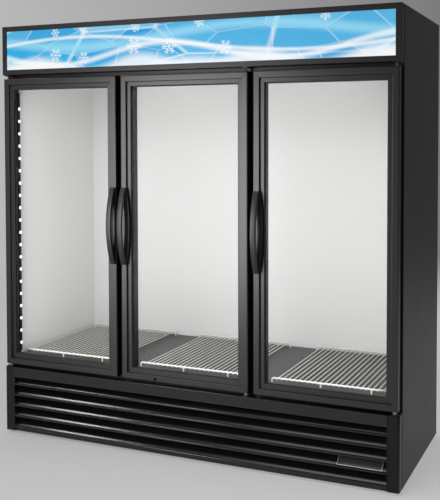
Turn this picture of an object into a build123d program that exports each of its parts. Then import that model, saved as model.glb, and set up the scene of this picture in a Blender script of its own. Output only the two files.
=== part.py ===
from build123d import *
import math
import os

# Three-door glass-front ice merchandiser freezer: an insulated cabinet with a lit header sign,
# self-closing hinged doors and a condensing unit behind a louvred grille in the base.
# Millimetres, +Z up, +X to the right seen from the front, +Y to the back. The origin is on the
# floor, at the middle of the overall width and of the overall depth with the handles.

# ---- Overall -----------------------------------------------------------------------------
cabinet_width = 1985.0
cabinet_height = 1998.0
cabinet_depth = 760.0  # door fronts to back panel
foot_height = 12.0
base_height = 316.0  # underside of the base rails to the top of the grille
header_height = 235.0

# ---- Working margins ---------------------------------------------------------------------
cut = 1.0  # cuts run this far past a face
fuse = 1.0  # joined forms of one piece overlap this much
wire_sides = 6  # facets of tubes, rails and screw shanks
thin_wire_sides = 4
round_sides = 12  # facets of hubs, motors, feet and glands

# ---- Sheet and insulation ----------------------------------------------------------------
skin = 1.0  # painted outer sheet
liner_sheet = 1.0
side_wall = 48.0
rear_wall = 60.0
roof_wall = 60.0
floor_wall = 57.0
rear_flange = 25.0  # return of the side panels over the back panel
floor_pan_sheet = 1.5
jamb_depth = 12.0
mullion_width = 94.0
mullion_depth = 45.0
mullion_wall = 2.0
mullion_corner = 2.5
head_drop = 69.0  # the head rail reaches this far below the header
head_lip = 2.0

# ---- Doors -------------------------------------------------------------------------------
door_hands = ("left", "right", "right")  # hinge side of each door, counted from the left
door_side_margin = 8.0
door_gap = 24.0
door_top_gap = 19.0
door_bottom_gap = 15.0
face_width = 28.5
bevel_run = 2.5
step_depth = 10.5
ledge_width = 17.5
front_lip = 2.5
rear_lip = 7.0
rear_lip_setback = 2.5
bead_depth = 14.5
door_edge_radius = 5.5
profile_wall = 3.0
chamber_margin = 8.5  # solid web between the hollow chamber and the glass channel
pane_thickness = 4.0
pane_gap = 12.0
pane_clearance = 1.0
spacer_width = 12.0
spacer_sight = 4.5  # spacer seen inside the door frame
gasket_height = 9.7
gasket_gap = 0.3
gasket_inset = 18.0
gasket_width = 15.0
gasket_base = 2.5
gasket_bulb = 11.0
gasket_chamfer = 2.5
gasket_groove_width = 4.0
gasket_groove_depth = 3.0

# ---- Hinges ------------------------------------------------------------------------------
pivot_inset = 16.0  # from the hinge edge of the door
pivot_setback = 17.0  # behind the door front
pin_radius = 5.0
running_clearance = 0.08
pin_engagement = 22.0
bore_spare = 2.0
bush_boss_width = 14.0
bush_flange_radius = 9.0
seat_clearance = 0.2
key_depth = 30.0
bracket_plate = 5.0
bracket_half_width = 20.0
bracket_nose = 13.0
bracket_chamfer = 9.0
bracket_leaf_height = 12.0
bracket_leaf = 3.0
bracket_screw_offset = 12.0

# ---- Handles -----------------------------------------------------------------------------
grip_length = 356.0
grip_width = 26.0
grip_reach = 45.0
grip_end_reach = 9.0
grip_thickness = 12.0
grip_edge_radius = 4.0
grip_inset = 4.0  # from the free edge of the door
grip_centre_height = 1050.0
finger_gap_length = 216.0
back_plate = 3.0
back_plate_bulge = 17.0

# ---- Door lock ---------------------------------------------------------------------------
locked_door = 1  # index of the door with the lock
lock_from_free_edge = 177.0
lock_height = 12.0  # above the bottom edge of the door
lock_barrel_radius = 6.2
lock_flange_radius = 7.0
lock_flange = 1.2
lock_plug_radius = 4.6
lock_barrel_length = 24.0
lock_cam_length = 32.0
lock_cam_width = 6.0
lock_cam_thickness = 3.0
cam_slot_clearance = 1.0
keyway_width = 1.6
keyway_height = 5.4
keyway_depth = 5.0

# ---- Header sign -------------------------------------------------------------------------
header_side_step = 1.0
bezel_depth = 6.0
bezel_width = 24.5
bezel_radius = 3.0
header_sheet = 1.5
sign_thickness = 3.0
sign_clearance = 2.0
light_bar_height = 24.0
light_bar_depth = 12.0
light_bar_spread = 110.0
light_bar_end_gap = 40.0

# ---- Base and louvre grille --------------------------------------------------------------
post_width = 50.0
post_radius = 8.0
post_fold_radius = 1.5
base_sheet = 1.5
grille_gap = 2.0
band_height = 49.0
band_return = 12.0
band_radius = 1.4
louvre_count = 5
louvre_lip = 11.0
louvre_lip_depth = 8.0
louvre_lip_radius = 4.5
louvre_crest = 5.0  # depth at which the blade leaves the lip
louvre_angle = 42.0
louvre_depth = 42.0
louvre_flange = 8.0  # upright edge behind the blade, welded to the straps
top_louvre_gap = 36.0  # underside of the band to the first lip
lowest_lip_height = 21.0  # above the underside of the grille
strap_width = 20.0
strap_count = 2
kick_strip_setback = 8.0
badge_length = 195.0
badge_height = 46.0
badge_thickness = 1.5
badge_rim_width = 2.5
badge_rim_height = 0.8
badge_corner = 3.0
badge_louvre = 1  # counted from the lowest
badge_from_post = 21.0
badge_above_lip = 0.5  # along the slope of the blade

# ---- Base frame and feet -----------------------------------------------------------------
rail_height = 40.0
rail_flange = 25.0
rail_sheet = 2.5
deck_sheet = 2.0
deck_flange = 22.0  # down-turned edge that takes the rear cover screws
upright_width = 40.0
foot_pad_radius = 20.0
foot_pad_height = 6.0
foot_hex_radius = 10.0
foot_stud_radius = 5.0
foot_stud_height = 26.0
foot_side_inset = 40.0
loose_clearance = 0.3

# ---- Screws ------------------------------------------------------------------------------
screw_head_radius = 4.2  # across the corners of the hexagon
screw_head_height = 2.0
screw_shank_radius = 1.9
screw_length = 8.0
header_screw_inset = 13.0
header_screw_setback = 25.0
cover_screw_inset = 9.0
cover_screw_from_side = 99.0

# ---- Interior ----------------------------------------------------------------------------
led_channel_width = 16.0
led_channel_height = 3.5
led_channel_setback = 0.5
led_end_gap = 16.0
led_lens_width = 11.0
led_lens_height = 2.5
led_lens_chamfer = 3.0
rack_width = 520.0
rack_height = 24.0
rack_front_setback = 22.0  # behind the cabinet face
rack_rear_gap = 25.0
rack_rail_radius = 3.0
rack_wire_radius = 2.0
rack_wire_count = 7
rack_leg_pitch = 225.0
rack_corner_radius = 9.0
rack_weld = 1.2

# ---- Condensing unit ---------------------------------------------------------------------
tray_width = 700.0
tray_setback = 12.0
tray_sheet = 2.0
tray_flange = 14.0
tray_rear_gap = 60.0
coil_side_gap = 21.0  # header tube to the control box
coil_height = 216.0
coil_depth = 62.0
coil_setback = 16.0
coil_header_radius = 13.0
coil_header_sink = 5.0  # header tubes brazed this far into the fin pack
coil_stub = 10.0
coil_stub_drop = 24.0
coil_stub_wall = 1.6
shroud_depth = 46.0
shroud_sheet = 1.5
shroud_mouth_depth = 26.0
condenser_fan_radius = 92.0
condenser_fan_inset = 21.0  # ahead of the rear face of the shroud
fan_tip_gap = 5.0
fan_hub_radius = 24.0
fan_hub_depth = 22.0
fan_hub_chamfer = 4.0
condenser_fan_blades = 5
fan_blade_chord = 58.0
fan_blade_camber = 7.0
fan_blade_thickness = 2.0
fan_blade_pitch = 28.0
fan_blade_root = 4.0  # sunk into the hub
fan_shaft_radius = 4.0
fan_shaft_length = 20.0
motor_radius = 34.0
motor_length = 56.0
motor_gap = 3.0
motor_arm_width = 12.0
motor_arm_thickness = 3.0
compressor_radius = 86.0
compressor_height = 178.0
compressor_dome = 46.0
compressor_dome_steps = 3
compressor_seam = 4.0
compressor_seam_height = 98.0  # above the foot plate
compressor_toe = 18.0  # height of the tapered bottom of the can
compressor_toe_inset = 12.0
terminal_cover_width = 52.0
terminal_cover_height = 70.0
terminal_cover_depth = 34.0
terminal_cover_sink = 6.0
terminal_cover_level = 40.0  # above the foot plate
compressor_foot_spread = 88.0
compressor_foot_radius = 17.0
grommet_height = 14.0
grommet_radius = 11.0
compressor_plate = 4.0
compressor_margin = 40.0  # foot plate to the back of the tray
compressor_side_margin = 60.0  # foot plate to the side of the tray
compressor_stub = 14.0
tube_radius = 4.8
suction_tube_radius = 6.4
tube_bend = 16.0
tube_lead = 26.0  # straight run out of the compressor
tube_side_margin = 32.0  # tubes to the side of the tray
tube_level_share = 0.42  # of the compressor height
suction_run = 150.0
drier_radius = 14.0
drier_length = 92.0
drier_cone = 16.0
control_box_width = 120.0
control_box_depth = 90.0
control_box_height = 150.0
control_box_margin = 28.0  # box to the side of the tray
knob_radius = 16.0
knob_depth = 14.0
knob_shaft_radius = 3.0
knob_shaft_length = 8.0
knob_gap = 1.0
knob_chamfer = 2.0
knob_pointer = 3.0
knob_pointer_rise = 2.0
knob_pointer_inset = 3.0
knob_level = 98.0  # above the foot of the box
pan_width = 210.0
pan_depth = 230.0
pan_height = 36.0
pan_wall = 1.5
pan_margin = 30.0
rear_cover_recess = 14.0
rear_slot_width = 220.0
rear_slot_height = 8.0
rear_slot_rows = 6
rear_slot_columns = 3
rear_slot_pitch = 32.0
rear_slot_spacing = 440.0
gland_radius = 12.0
gland_bore_radius = 5.0
gland_flange_radius = 16.0
gland_length = 8.0
gland_from_side = 90.0
gland_height = 70.0

# ---- Evaporator --------------------------------------------------------------------------
evaporator_width = 1400.0
evaporator_depth = 330.0
evaporator_height = 186.0
evaporator_sheet = 1.5
evaporator_chamfer = 40.0
evaporator_coil_depth = 120.0
evaporator_coil_height = 130.0
evaporator_coil_end_gap = 60.0
evaporator_coil_gap = 12.0  # coil to the back wall and to the floor of the cover
evaporator_end_plate = 2.0
evaporator_fan_radius = 70.0
evaporator_hub_radius = 19.0
evaporator_blade_chord = 44.0
evaporator_fan_blades = 4
evaporator_fan_spread = 640.0
evaporator_fan_gap = 10.0
evaporator_fan_lift = 6.0  # above the middle of the cover
guard_slot_count = 8
guard_bar_width = 4.5
evaporator_motor_radius = 26.0
evaporator_motor_length = 44.0
evaporator_strap_depth = 12.0

# ---- Places worked out from the sizes above ----------------------------------------------
half_width = cabinet_width / 2
inner_skin_x = half_width - skin
wall_x = half_width - side_wall  # inner face of the side walls
overall_depth = cabinet_depth + grip_reach
front_y = grip_reach - overall_depth / 2
rear_y = overall_depth / 2
unit_thickness = 2 * pane_thickness + pane_gap
glass_front = step_depth + front_lip
glass_back = glass_front + unit_thickness
door_thickness = glass_back + rear_lip
face_y = front_y + door_thickness + gasket_height + gasket_gap  # front face of the cabinet
back_wall_y = rear_y - rear_wall  # inner face of the back wall
frame_back_y = rear_y - rear_cover_recess - base_sheet  # the rear cover seats here
base_top_z = foot_height + base_height
floor_z = base_top_z + floor_wall
ceiling_z = cabinet_height - roof_wall
header_z = cabinet_height - header_height
head_z = header_z - head_drop
door_z = base_top_z + door_bottom_gap
door_height = header_z - door_top_gap - door_z
door_count = len(door_hands)
door_width = (cabinet_width - 2 * door_side_margin - (door_count - 1) * door_gap) / door_count
door_pitch = door_width + door_gap
frame_width = face_width + bevel_run + ledge_width
throat = frame_width - bead_depth
header_half = half_width - header_side_step
grille_half = header_half - post_width - grille_gap
band_z = base_top_z - band_height
lowest_lip_z = foot_height + lowest_lip_height
louvre_pitch = (band_z - top_louvre_gap - lowest_lip_z) / (louvre_count - 1)
rail_top_z = foot_height + rail_height
tray_z = rail_top_z + tray_sheet
rack_z = floor_z + rack_height


def block(low, high):
    """Solid box between two opposite corners."""
    size = [b - a for a, b in zip(low, high)]
    centre = [(a + b) / 2 for a, b in zip(low, high)]
    return Pos(*centre) * Box(*size)


def outline(points, radii=0.0):
    """Closed face through the points, with one fillet radius for all or one for each."""
    if radii == 0.0:
        return make_face(Polyline(*points, close=True))
    return make_face(FilletPolyline(*points, radius=radii, close=True))


def along_x(face, start, end):
    """Face drawn as (y, z), extruded from x = start to x = end."""
    return extrude(Plane.YZ.offset(start) * face, end - start)


def along_y(face, start, end):
    """Face drawn as (x, z), extruded from y = start to y = end."""
    return extrude(Plane.XZ.offset(-end) * face, end - start)


def along_z(face, start, end):
    """Face drawn as (x, y), extruded from z = start to z = end."""
    return extrude(Plane.XY.offset(start) * face, end - start)


def rod(start, end, radius):
    """Round bar between two points."""
    axis = Vector(*end) - Vector(*start)
    return extrude(Plane(Vector(*start), z_dir=axis) * Circle(radius), axis.length)


def wire(start, end, radius, sides=0):
    """Bar with few sides between two points."""
    axis = Vector(*end) - Vector(*start)
    section = RegularPolygon(radius, sides or wire_sides)
    return extrude(Plane(Vector(*start), z_dir=axis) * section, axis.length)


def bent_wire(points, radius, bend):
    """Wire or tube with few sides, its corners cut off at the bend length."""
    corners = [Vector(*point) for point in points]
    route = [corners[0]]
    for before, corner, after in zip(corners, corners[1:], corners[2:]):
        route.append(corner + (before - corner).normalized() * bend)
        route.append(corner + (after - corner).normalized() * bend)
    route.append(corners[-1])
    path = Polyline(*route)
    start = Plane(origin=route[0], z_dir=route[1] - route[0])
    return sweep(start * RegularPolygon(radius, wire_sides), path=path, transition=Transition.RIGHT)


def mirrored(shape):
    """The same shape on the other side of the middle of the cabinet."""
    return mirror(shape, about=Plane.YZ)


def mitred_bar(section, length, width):
    """Bar along X, section drawn as (y, z) with its outer edge at z = 0, ends cut at 45 degrees."""
    box = section.bounding_box()
    keep = outline(
        [(-length / 2, 0), (length / 2, 0), (length / 2 - width, width), (width - length / 2, width)]
    )
    return along_x(section, -length / 2, length / 2) & along_y(keep, box.min.X - cut, box.max.X + cut)


def mitred_ring(section, width, height, bar_width):
    """Bottom, top, left and right bars round a rectangle that starts at the origin."""
    across = mitred_bar(section, width, bar_width)
    upright = mitred_bar(section, height, bar_width)
    return [
        Pos(width / 2, 0, 0) * across,
        Pos(width / 2, 0, height) * Rot(0, 180, 0) * across,
        Pos(0, 0, height / 2) * Rot(0, 90, 0) * upright,
        Pos(width, 0, height / 2) * Rot(0, -90, 0) * upright,
    ]


# ---- Screws ------------------------------------------------------------------------------


def header_screw_points():
    """Two screws in each end cap of the header."""
    heights = (header_z + header_screw_inset, cabinet_height - header_screw_inset)
    return [(header_half, front_y + header_screw_setback, z) for z in heights]


def cover_screw_points():
    """Screws along the top and bottom edges of the rear cover, on its outer face."""
    y = rear_y - rear_cover_recess
    heights = (foot_height + base_sheet + cover_screw_inset, base_top_z - cover_screw_inset)
    outer = half_width - cover_screw_from_side
    places = (-outer, 0.0, outer)
    return [(x, y, z) for x in places for z in heights]


def bracket_screw_points(index):
    """Two screws in the upright leaf of a top hinge bracket, on its front face."""
    y = face_y - bracket_leaf
    z = header_z - bracket_plate - bracket_leaf_height / 2
    middle = hinge_x(index)
    return [(middle + side * bracket_screw_offset, y, z) for side in (-1, 1)]


def screw(point, outward):
    """Hexagon-head screw whose head sits on a face at the point."""
    surface = Vector(*point)
    out = Vector(*outward)
    head = wire(surface, surface + out * screw_head_height, screw_head_radius)
    return head + wire(surface - out * screw_length, surface, screw_shank_radius)


def screw_holes(points, outward):
    """Clearance holes for screws at the points."""
    out = Vector(*outward)
    holes = []
    for point in points:
        bottom = Vector(*point) - out * (screw_length + cut)
        holes.append(wire(bottom, Vector(*point) + out, screw_shank_radius + loose_clearance))
    return holes


def all_screws():
    """Every visible screw of the casing."""
    screws = [screw(point, (1, 0, 0)) for point in header_screw_points()]
    screws += [mirrored(piece) for piece in screws]
    screws += [screw(point, (0, 1, 0)) for point in cover_screw_points()]
    for index in range(door_count):
        screws += [screw(point, (0, -1, 0)) for point in bracket_screw_points(index)]
    return screws


# ---- Cabinet shell -----------------------------------------------------------------------


def side_panel():
    """Right-hand outer panel with its return over the back panel."""
    sheet = block((inner_skin_x, face_y, foot_height), (half_width, rear_y, cabinet_height))
    flange_low = (inner_skin_x - rear_flange, rear_y - skin, foot_height)
    return sheet + block(flange_low, (half_width, rear_y, cabinet_height))


def top_panel():
    """Roof sheet between the side panels."""
    low = (-inner_skin_x, face_y, cabinet_height - skin)
    return block(low, (inner_skin_x, rear_y - skin, cabinet_height))


def rear_panel():
    """Back sheet of the insulated cabinet, inside the side panel returns."""
    low = (-inner_skin_x, rear_y - 2 * skin, base_top_z)
    return block(low, (inner_skin_x, rear_y - skin, cabinet_height - skin))


def foam_insulation():
    """Foamed-in slabs of the walls, roof, floor and front head."""
    bottom = base_top_z
    top = cabinet_height - skin
    front = face_y + jamb_depth
    foam_x = wall_x + liner_sheet
    foam_back = back_wall_y + liner_sheet
    head_back = face_y + mullion_depth - liner_sheet
    side = block((foam_x, front, bottom), (inner_skin_x, rear_y - 2 * skin, top))
    back = block((-foam_x, foam_back, bottom), (foam_x, rear_y - 2 * skin, top))
    roof = block((-foam_x, head_back, ceiling_z + liner_sheet), (foam_x, foam_back, top))
    head = block((-foam_x, front, head_z + head_lip), (foam_x, head_back, top))
    under = floor_z - floor_pan_sheet - liner_sheet
    floor = block((-foam_x, front, bottom), (foam_x, foam_back, under))
    return [side, mirrored(side), back, roof, head, floor]


def inner_liner():
    """White sheet lining of the storage space, open to the doors."""
    front = face_y + jamb_depth
    head_back = face_y + mullion_depth
    bottom = floor_z - floor_pan_sheet
    outer_low = (-wall_x - liner_sheet, front, bottom - liner_sheet)
    outer_high = (wall_x + liner_sheet, back_wall_y + liner_sheet, ceiling_z + liner_sheet)
    shell = block(outer_low, outer_high) - block((-wall_x, front, bottom), (wall_x, back_wall_y, ceiling_z))
    head_low = (-wall_x - liner_sheet, front, head_z + head_lip)
    shell -= block(head_low, (wall_x + liner_sheet, head_back - liner_sheet, ceiling_z + liner_sheet))
    shell += block((-wall_x, head_back - liner_sheet, head_z + head_lip), (wall_x, head_back, ceiling_z))
    return shell


def interior_floor_pan():
    """Stainless floor sheet on which the racks stand."""
    low = (-wall_x, face_y + jamb_depth, floor_z - floor_pan_sheet)
    return block(low, (wall_x, back_wall_y, floor_z))


def mullion_centres():
    """Middle of each gap between two doors."""
    first = -(door_count - 2) * door_pitch / 2
    return [first + index * door_pitch for index in range(door_count - 1)]


def front_face_frame():
    """Jambs, head, sill and hollow mullions that the door gaskets close on."""
    top = cabinet_height - skin
    jamb = block((wall_x, face_y, base_top_z), (inner_skin_x, face_y + jamb_depth, top))
    head_section = outline(
        [
            (face_y, head_z),
            (face_y, top),
            (face_y + jamb_depth, top),
            (face_y + jamb_depth, head_z + head_lip),
            (face_y + mullion_depth, head_z + head_lip),
            (face_y + mullion_depth, head_z),
        ]
    )
    pieces = [jamb, mirrored(jamb), along_x(head_section, -wall_x, wall_x)]
    for index in range(door_count):
        holes = screw_holes(bracket_screw_points(index), (0, -1, 0))
        pieces = [piece - holes for piece in pieces]
    pieces.append(block((-wall_x, face_y, base_top_z), (wall_x, face_y + jamb_depth, floor_z)))
    plan = chamfer(Rectangle(mullion_width, mullion_depth).vertices(), mullion_corner)
    plan -= Rectangle(mullion_width - 2 * mullion_wall, mullion_depth - 2 * mullion_wall)
    for x in mullion_centres():
        pieces.append(along_z(Pos(x, face_y + mullion_depth / 2) * plan, floor_z, head_z))
    return pieces


# ---- Interior fittings -------------------------------------------------------------------


def led_strip_places():
    """Foot and direction of every upright light strip: one on each jamb, one behind each mullion."""
    jamb_y = face_y + led_channel_setback + led_channel_width / 2
    places = [Pos(-wall_x, jamb_y), Pos(wall_x, jamb_y) * Rot(0, 0, 180)]
    for x in mullion_centres():
        places.append(Pos(x, face_y + mullion_depth) * Rot(0, 0, 90))
    return places


def led_strips(plan):
    """The plan of a strip, which starts at a wall and points along +X, made at every place."""
    low = floor_z + led_end_gap
    high = head_z - led_end_gap
    return [along_z(place * plan, low, high) for place in led_strip_places()]


def led_channels():
    """Aluminium channels of the light strips."""
    half = led_channel_width / 2
    corners = [(0, -half), (led_channel_height, -half), (led_channel_height, half), (0, half)]
    return led_strips(outline(corners))


def led_lenses():
    """Bevelled diffusers along the channels."""
    base = led_channel_height
    crest = base + led_lens_height
    half = led_lens_width / 2
    flat = half - led_lens_chamfer
    return led_strips(outline([(base, -half), (crest, -flat), (crest, flat), (base, half)]))


def rack(centre_x):
    """Coated wire floor rack: two bent rails with legs and welded cross wires."""
    front = face_y + rack_front_setback
    back = back_wall_y - rack_rear_gap
    left = centre_x - rack_width / 2
    right = centre_x + rack_width / 2
    rail_z = rack_z - rack_rail_radius
    pieces = []
    for y in (front, back):
        points = [(left, y, floor_z), (left, y, rail_z), (right, y, rail_z), (right, y, floor_z)]
        pieces.append(bent_wire(points, rack_rail_radius, rack_corner_radius))
        leg_x = left + rack_leg_pitch
        while leg_x < right - rack_leg_pitch / 4:
            leg = wire((leg_x, y, floor_z), (leg_x, y, rail_z), rack_rail_radius, thin_wire_sides)
            pieces.append(leg)
            leg_x += rack_leg_pitch
    wire_z = rack_z - 2 * rack_rail_radius - rack_wire_radius + rack_weld
    span = rack_width - 4 * rack_corner_radius
    for index in range(rack_wire_count):
        x = centre_x - span / 2 + span * index / (rack_wire_count - 1)
        start = (x, front - rack_wire_radius, wire_z)
        end = (x, back + rack_wire_radius, wire_z)
        pieces.append(wire(start, end, rack_wire_radius, thin_wire_sides))
    joined = pieces[0]
    for piece in pieces[1:]:
        joined += piece
    return joined


def floor_racks():
    """One rack behind each door."""
    return [rack((index - (door_count - 1) / 2) * door_pitch) for index in range(door_count)]


# ---- Doors -------------------------------------------------------------------------------


def door_left_x(index):
    """Left edge of a door."""
    return -half_width + door_side_margin + index * door_pitch


def door_centre_x(index):
    """Middle of a door."""
    return door_left_x(index) + door_width / 2


def inward(index):
    """Direction in X from the hinge edge of a door towards its free edge."""
    return 1 if door_hands[index] == "left" else -1


def hinge_x(index):
    """X of the door's hinge axis."""
    return door_centre_x(index) - inward(index) * (door_width / 2 - pivot_inset)


def free_edge_x(index):
    """X of the door edge with the handle."""
    return door_centre_x(index) + inward(index) * door_width / 2


def door_section():
    """Hollow door profile, drawn as (depth behind the front, distance in from the edge)."""
    body = outline(
        [
            (0, 0),
            (0, face_width),
            (step_depth, face_width + bevel_run),
            (step_depth, frame_width),
            (glass_front, frame_width),
            (glass_front, throat),
            (glass_back, throat),
            (glass_back, frame_width - rear_lip_setback),
            (door_thickness, frame_width - rear_lip_setback),
            (door_thickness, 0),
        ],
        [door_edge_radius, 0, 0, 0, 0, 0, 0, 0, 0, 0],
    )
    depth_low, depth_high, in_low, in_high = chamber_limits()
    chamber = Pos((depth_low + depth_high) / 2, (in_low + in_high) / 2) * Rectangle(
        depth_high - depth_low, in_high - in_low
    )
    groove_in = gasket_inset + gasket_width / 2
    groove = Pos(door_thickness - gasket_groove_depth / 2, groove_in) * Rectangle(
        gasket_groove_depth, gasket_groove_width
    )
    return body - chamber - groove


def chamber_limits():
    """Depth range and inward range of the hollow in the door profile."""
    depth_high = door_thickness - gasket_groove_depth - profile_wall
    return profile_wall, depth_high, profile_wall, throat - chamber_margin


def gasket_section():
    """Push-in magnetic gasket, drawn like the door profile."""
    middle = gasket_inset + gasket_width / 2
    foot_back = door_thickness + gasket_base
    tip = door_thickness + gasket_height
    half_bulb = gasket_bulb / 2
    foot = Pos((door_thickness + foot_back) / 2, middle) * Rectangle(gasket_base, gasket_width)
    bulb = outline(
        [
            (door_thickness, middle - half_bulb),
            (tip - gasket_chamfer, middle - half_bulb),
            (tip, middle - half_bulb + gasket_chamfer),
            (tip, middle + half_bulb - gasket_chamfer),
            (tip - gasket_chamfer, middle + half_bulb),
            (door_thickness, middle + half_bulb),
        ]
    )
    dart_low = door_thickness - gasket_groove_depth + seat_clearance
    dart = Pos((dart_low + door_thickness) / 2, middle) * Rectangle(
        door_thickness - dart_low, gasket_groove_width - 2 * seat_clearance
    )
    return foot + bulb + dart


def door_place(index):
    """Location of a door's lower left front corner."""
    return Pos(door_left_x(index), front_y, door_z)


def door_frame(index):
    """Four mitred profiles, with the holes for the hinge bushes and the lock."""
    bars = mitred_ring(door_section(), door_width, door_height, frame_width)
    bars = [door_place(index) * bar for bar in bars]
    hole_width = bush_boss_width + 2 * seat_clearance
    top = door_z + door_height
    bars[0] -= bush_boss(index, door_z - cut, door_z + profile_wall + cut, hole_width)
    bars[1] -= bush_boss(index, top - profile_wall - cut, top + cut, hole_width)
    if index == locked_door:
        x, z = lock_axis()
        barrel_hole = lock_barrel_radius + seat_clearance
        bars[0] -= wire((x, front_y - cut, z), (x, front_y + profile_wall + cut, z), barrel_hole)
        bars[0] -= cam_sweep_box(door_z - cut, door_z + profile_wall + cut)
    return bars


def glass_panes(index):
    """Front and rear panes of the insulating glass unit."""
    inset = throat + pane_clearance
    low_x = door_left_x(index) + inset
    low_z = door_z + inset
    high_x = low_x + door_width - 2 * inset
    high_z = low_z + door_height - 2 * inset
    panes = []
    for depth in (glass_front, glass_back - pane_thickness):
        y = front_y + depth
        panes.append(block((low_x, y, low_z), (high_x, y + pane_thickness, high_z)))
    return panes


def glass_spacer(index):
    """Dark spacer ring between the panes."""
    inner = frame_width + spacer_sight
    outer = inner - spacer_width
    y = front_y + glass_front + pane_thickness

    def slab(inset, low_y, high_y):
        low = (door_left_x(index) + inset, low_y, door_z + inset)
        high = (door_left_x(index) + door_width - inset, high_y, door_z + door_height - inset)
        return block(low, high)

    return slab(outer, y, y + pane_gap) - slab(inner, y - cut, y + pane_gap + cut)


def door_gasket(index):
    """Welded gasket ring on the back of the door."""
    bars = mitred_ring(gasket_section(), door_width, door_height, frame_width)
    ring = bars[0] + bars[1] + bars[2] + bars[3]
    return door_place(index) * ring


def hinge_bushes(index):
    """Corner keys with the pivot bores, at the bottom and top of the hinge edge."""
    depth_low, depth_high, in_low, in_high = chamber_limits()
    x = hinge_x(index)
    y = front_y + pivot_setback
    edge_x = x - inward(index) * pivot_inset
    sides = sorted((edge_x + inward(index) * in_low, edge_x + inward(index) * in_high))
    low_y = front_y + depth_low + seat_clearance
    high_y = front_y + depth_high - seat_clearance
    low_x = sides[0] + seat_clearance
    high_x = sides[1] - seat_clearance
    key_low = profile_wall + seat_clearance
    bore_depth = pin_engagement + bore_spare
    bore_radius = pin_radius + running_clearance
    bushes = []
    for edge_z, up in ((door_z, 1), (door_z + door_height, -1)):
        heights = sorted((edge_z + up * key_low, edge_z + up * key_depth))
        bush = block((low_x, low_y, heights[0]), (high_x, high_y, heights[1]))
        bush += bush_boss(index, edge_z, edge_z + up * (key_low + fuse), bush_boss_width)
        if up == 1:
            flange_z = base_top_z + bracket_plate + seat_clearance
            bush += wire((x, y, flange_z), (x, y, edge_z), bush_flange_radius)
        bore_start = edge_z - up * door_bottom_gap
        bushes.append(bush - rod((x, y, bore_start), (x, y, edge_z + up * bore_depth), bore_radius))
    return bushes


def bush_boss(index, start_z, end_z, width):
    """Square boss round the hinge axis that locks a corner key in the door profile."""
    x = hinge_x(index)
    y = front_y + pivot_setback
    low_z, high_z = sorted((start_z, end_z))
    return block((x - width / 2, y - width / 2, low_z), (x + width / 2, y + width / 2, high_z))


def handle(index):
    """Moulded bow handle with solid feet and a lens-shaped back plate."""
    half = grip_length / 2
    bow = ThreePointArc((-grip_end_reach, -half), (-grip_reach, 0), (-grip_end_reach, half))
    ends = Polyline((-grip_end_reach, half), (0, half), (0, -half), (-grip_end_reach, -half))
    grip = along_x(make_face([bow, ends]), 0, grip_width)
    long_edges = grip.edges().filter_by(GeomType.CIRCLE)
    grip = fillet(long_edges, grip_edge_radius)
    half_gap = finger_gap_length / 2
    inner = grip_reach - grip_thickness
    gap_arc = ThreePointArc((-back_plate, -half_gap), (-inner, 0), (-back_plate, half_gap))
    gap_face = make_face([gap_arc, Line((-back_plate, half_gap), (-back_plate, -half_gap))])
    grip -= along_x(gap_face, -cut, grip_width + cut)
    bulge = grip_width + back_plate_bulge
    lens = ThreePointArc((grip_width, -half), (bulge, 0), (grip_width, half))
    plate_sides = Polyline((grip_width, half), (0, half), (0, -half), (grip_width, -half))
    moulding = grip + along_y(make_face([lens, plate_sides]), -back_plate, 0)
    if inward(index) == 1:
        moulding = mirrored(moulding)
    x = free_edge_x(index) - inward(index) * grip_inset
    return Pos(x, front_y, grip_centre_height) * moulding


def hinge_brackets():
    """Top and bottom hinge brackets with their riveted pins."""
    brackets = []
    y = front_y + pivot_setback
    for index in range(door_count):
        x = hinge_x(index)
        low_x = x - bracket_half_width
        high_x = x + bracket_half_width
        nose_y = y - bracket_nose
        plan = outline(
            [
                (low_x, face_y),
                (low_x, nose_y + bracket_chamfer),
                (low_x + bracket_chamfer, nose_y),
                (high_x - bracket_chamfer, nose_y),
                (high_x, nose_y + bracket_chamfer),
                (high_x, face_y),
            ]
        )
        bottom = along_z(plan, base_top_z, base_top_z + bracket_plate)
        pin_top = door_z + pin_engagement
        brackets.append(bottom + rod((x, y, base_top_z + fuse), (x, y, pin_top), pin_radius))
        plate_z = header_z - bracket_plate
        top = along_z(plan, plate_z, header_z)
        leaf_low = (low_x, face_y - bracket_leaf, plate_z - bracket_leaf_height)
        top += block(leaf_low, (high_x, face_y, plate_z))
        pin_bottom = door_z + door_height - pin_engagement
        top += rod((x, y, pin_bottom), (x, y, header_z - fuse), pin_radius)
        for hole in screw_holes(bracket_screw_points(index), (0, -1, 0)):
            top -= hole
        brackets.append(top)
    return brackets


# ---- Door lock ---------------------------------------------------------------------------


def lock_axis():
    """X and Z of the lock in the bottom rail of the locked door."""
    x = free_edge_x(locked_door) - inward(locked_door) * lock_from_free_edge
    return x, door_z + lock_height


def cam_sweep_box(low_z, high_z):
    """Slot that lets the lock cam swing down, between two heights."""
    x, z = lock_axis()
    half = lock_cam_width / 2 + cam_slot_clearance
    cam_y = front_y + lock_barrel_length
    low_y = cam_y - cam_slot_clearance / 2
    high_y = cam_y + lock_cam_thickness + cam_slot_clearance / 2
    return block((x - half, low_y, low_z), (x + lock_cam_length + half, high_y, high_z))


def lock_barrel():
    """Fixed cylinder of the door lock."""
    x, z = lock_axis()
    flange_y = front_y - lock_flange
    end_y = front_y + lock_barrel_length - cam_slot_clearance / 2
    barrel = rod((x, flange_y, z), (x, front_y, z), lock_flange_radius)
    barrel += wire((x, front_y, z), (x, end_y, z), lock_barrel_radius)
    bore_radius = lock_plug_radius + running_clearance
    return barrel - rod((x, flange_y - cut, z), (x, end_y + cut, z), bore_radius)


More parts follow.
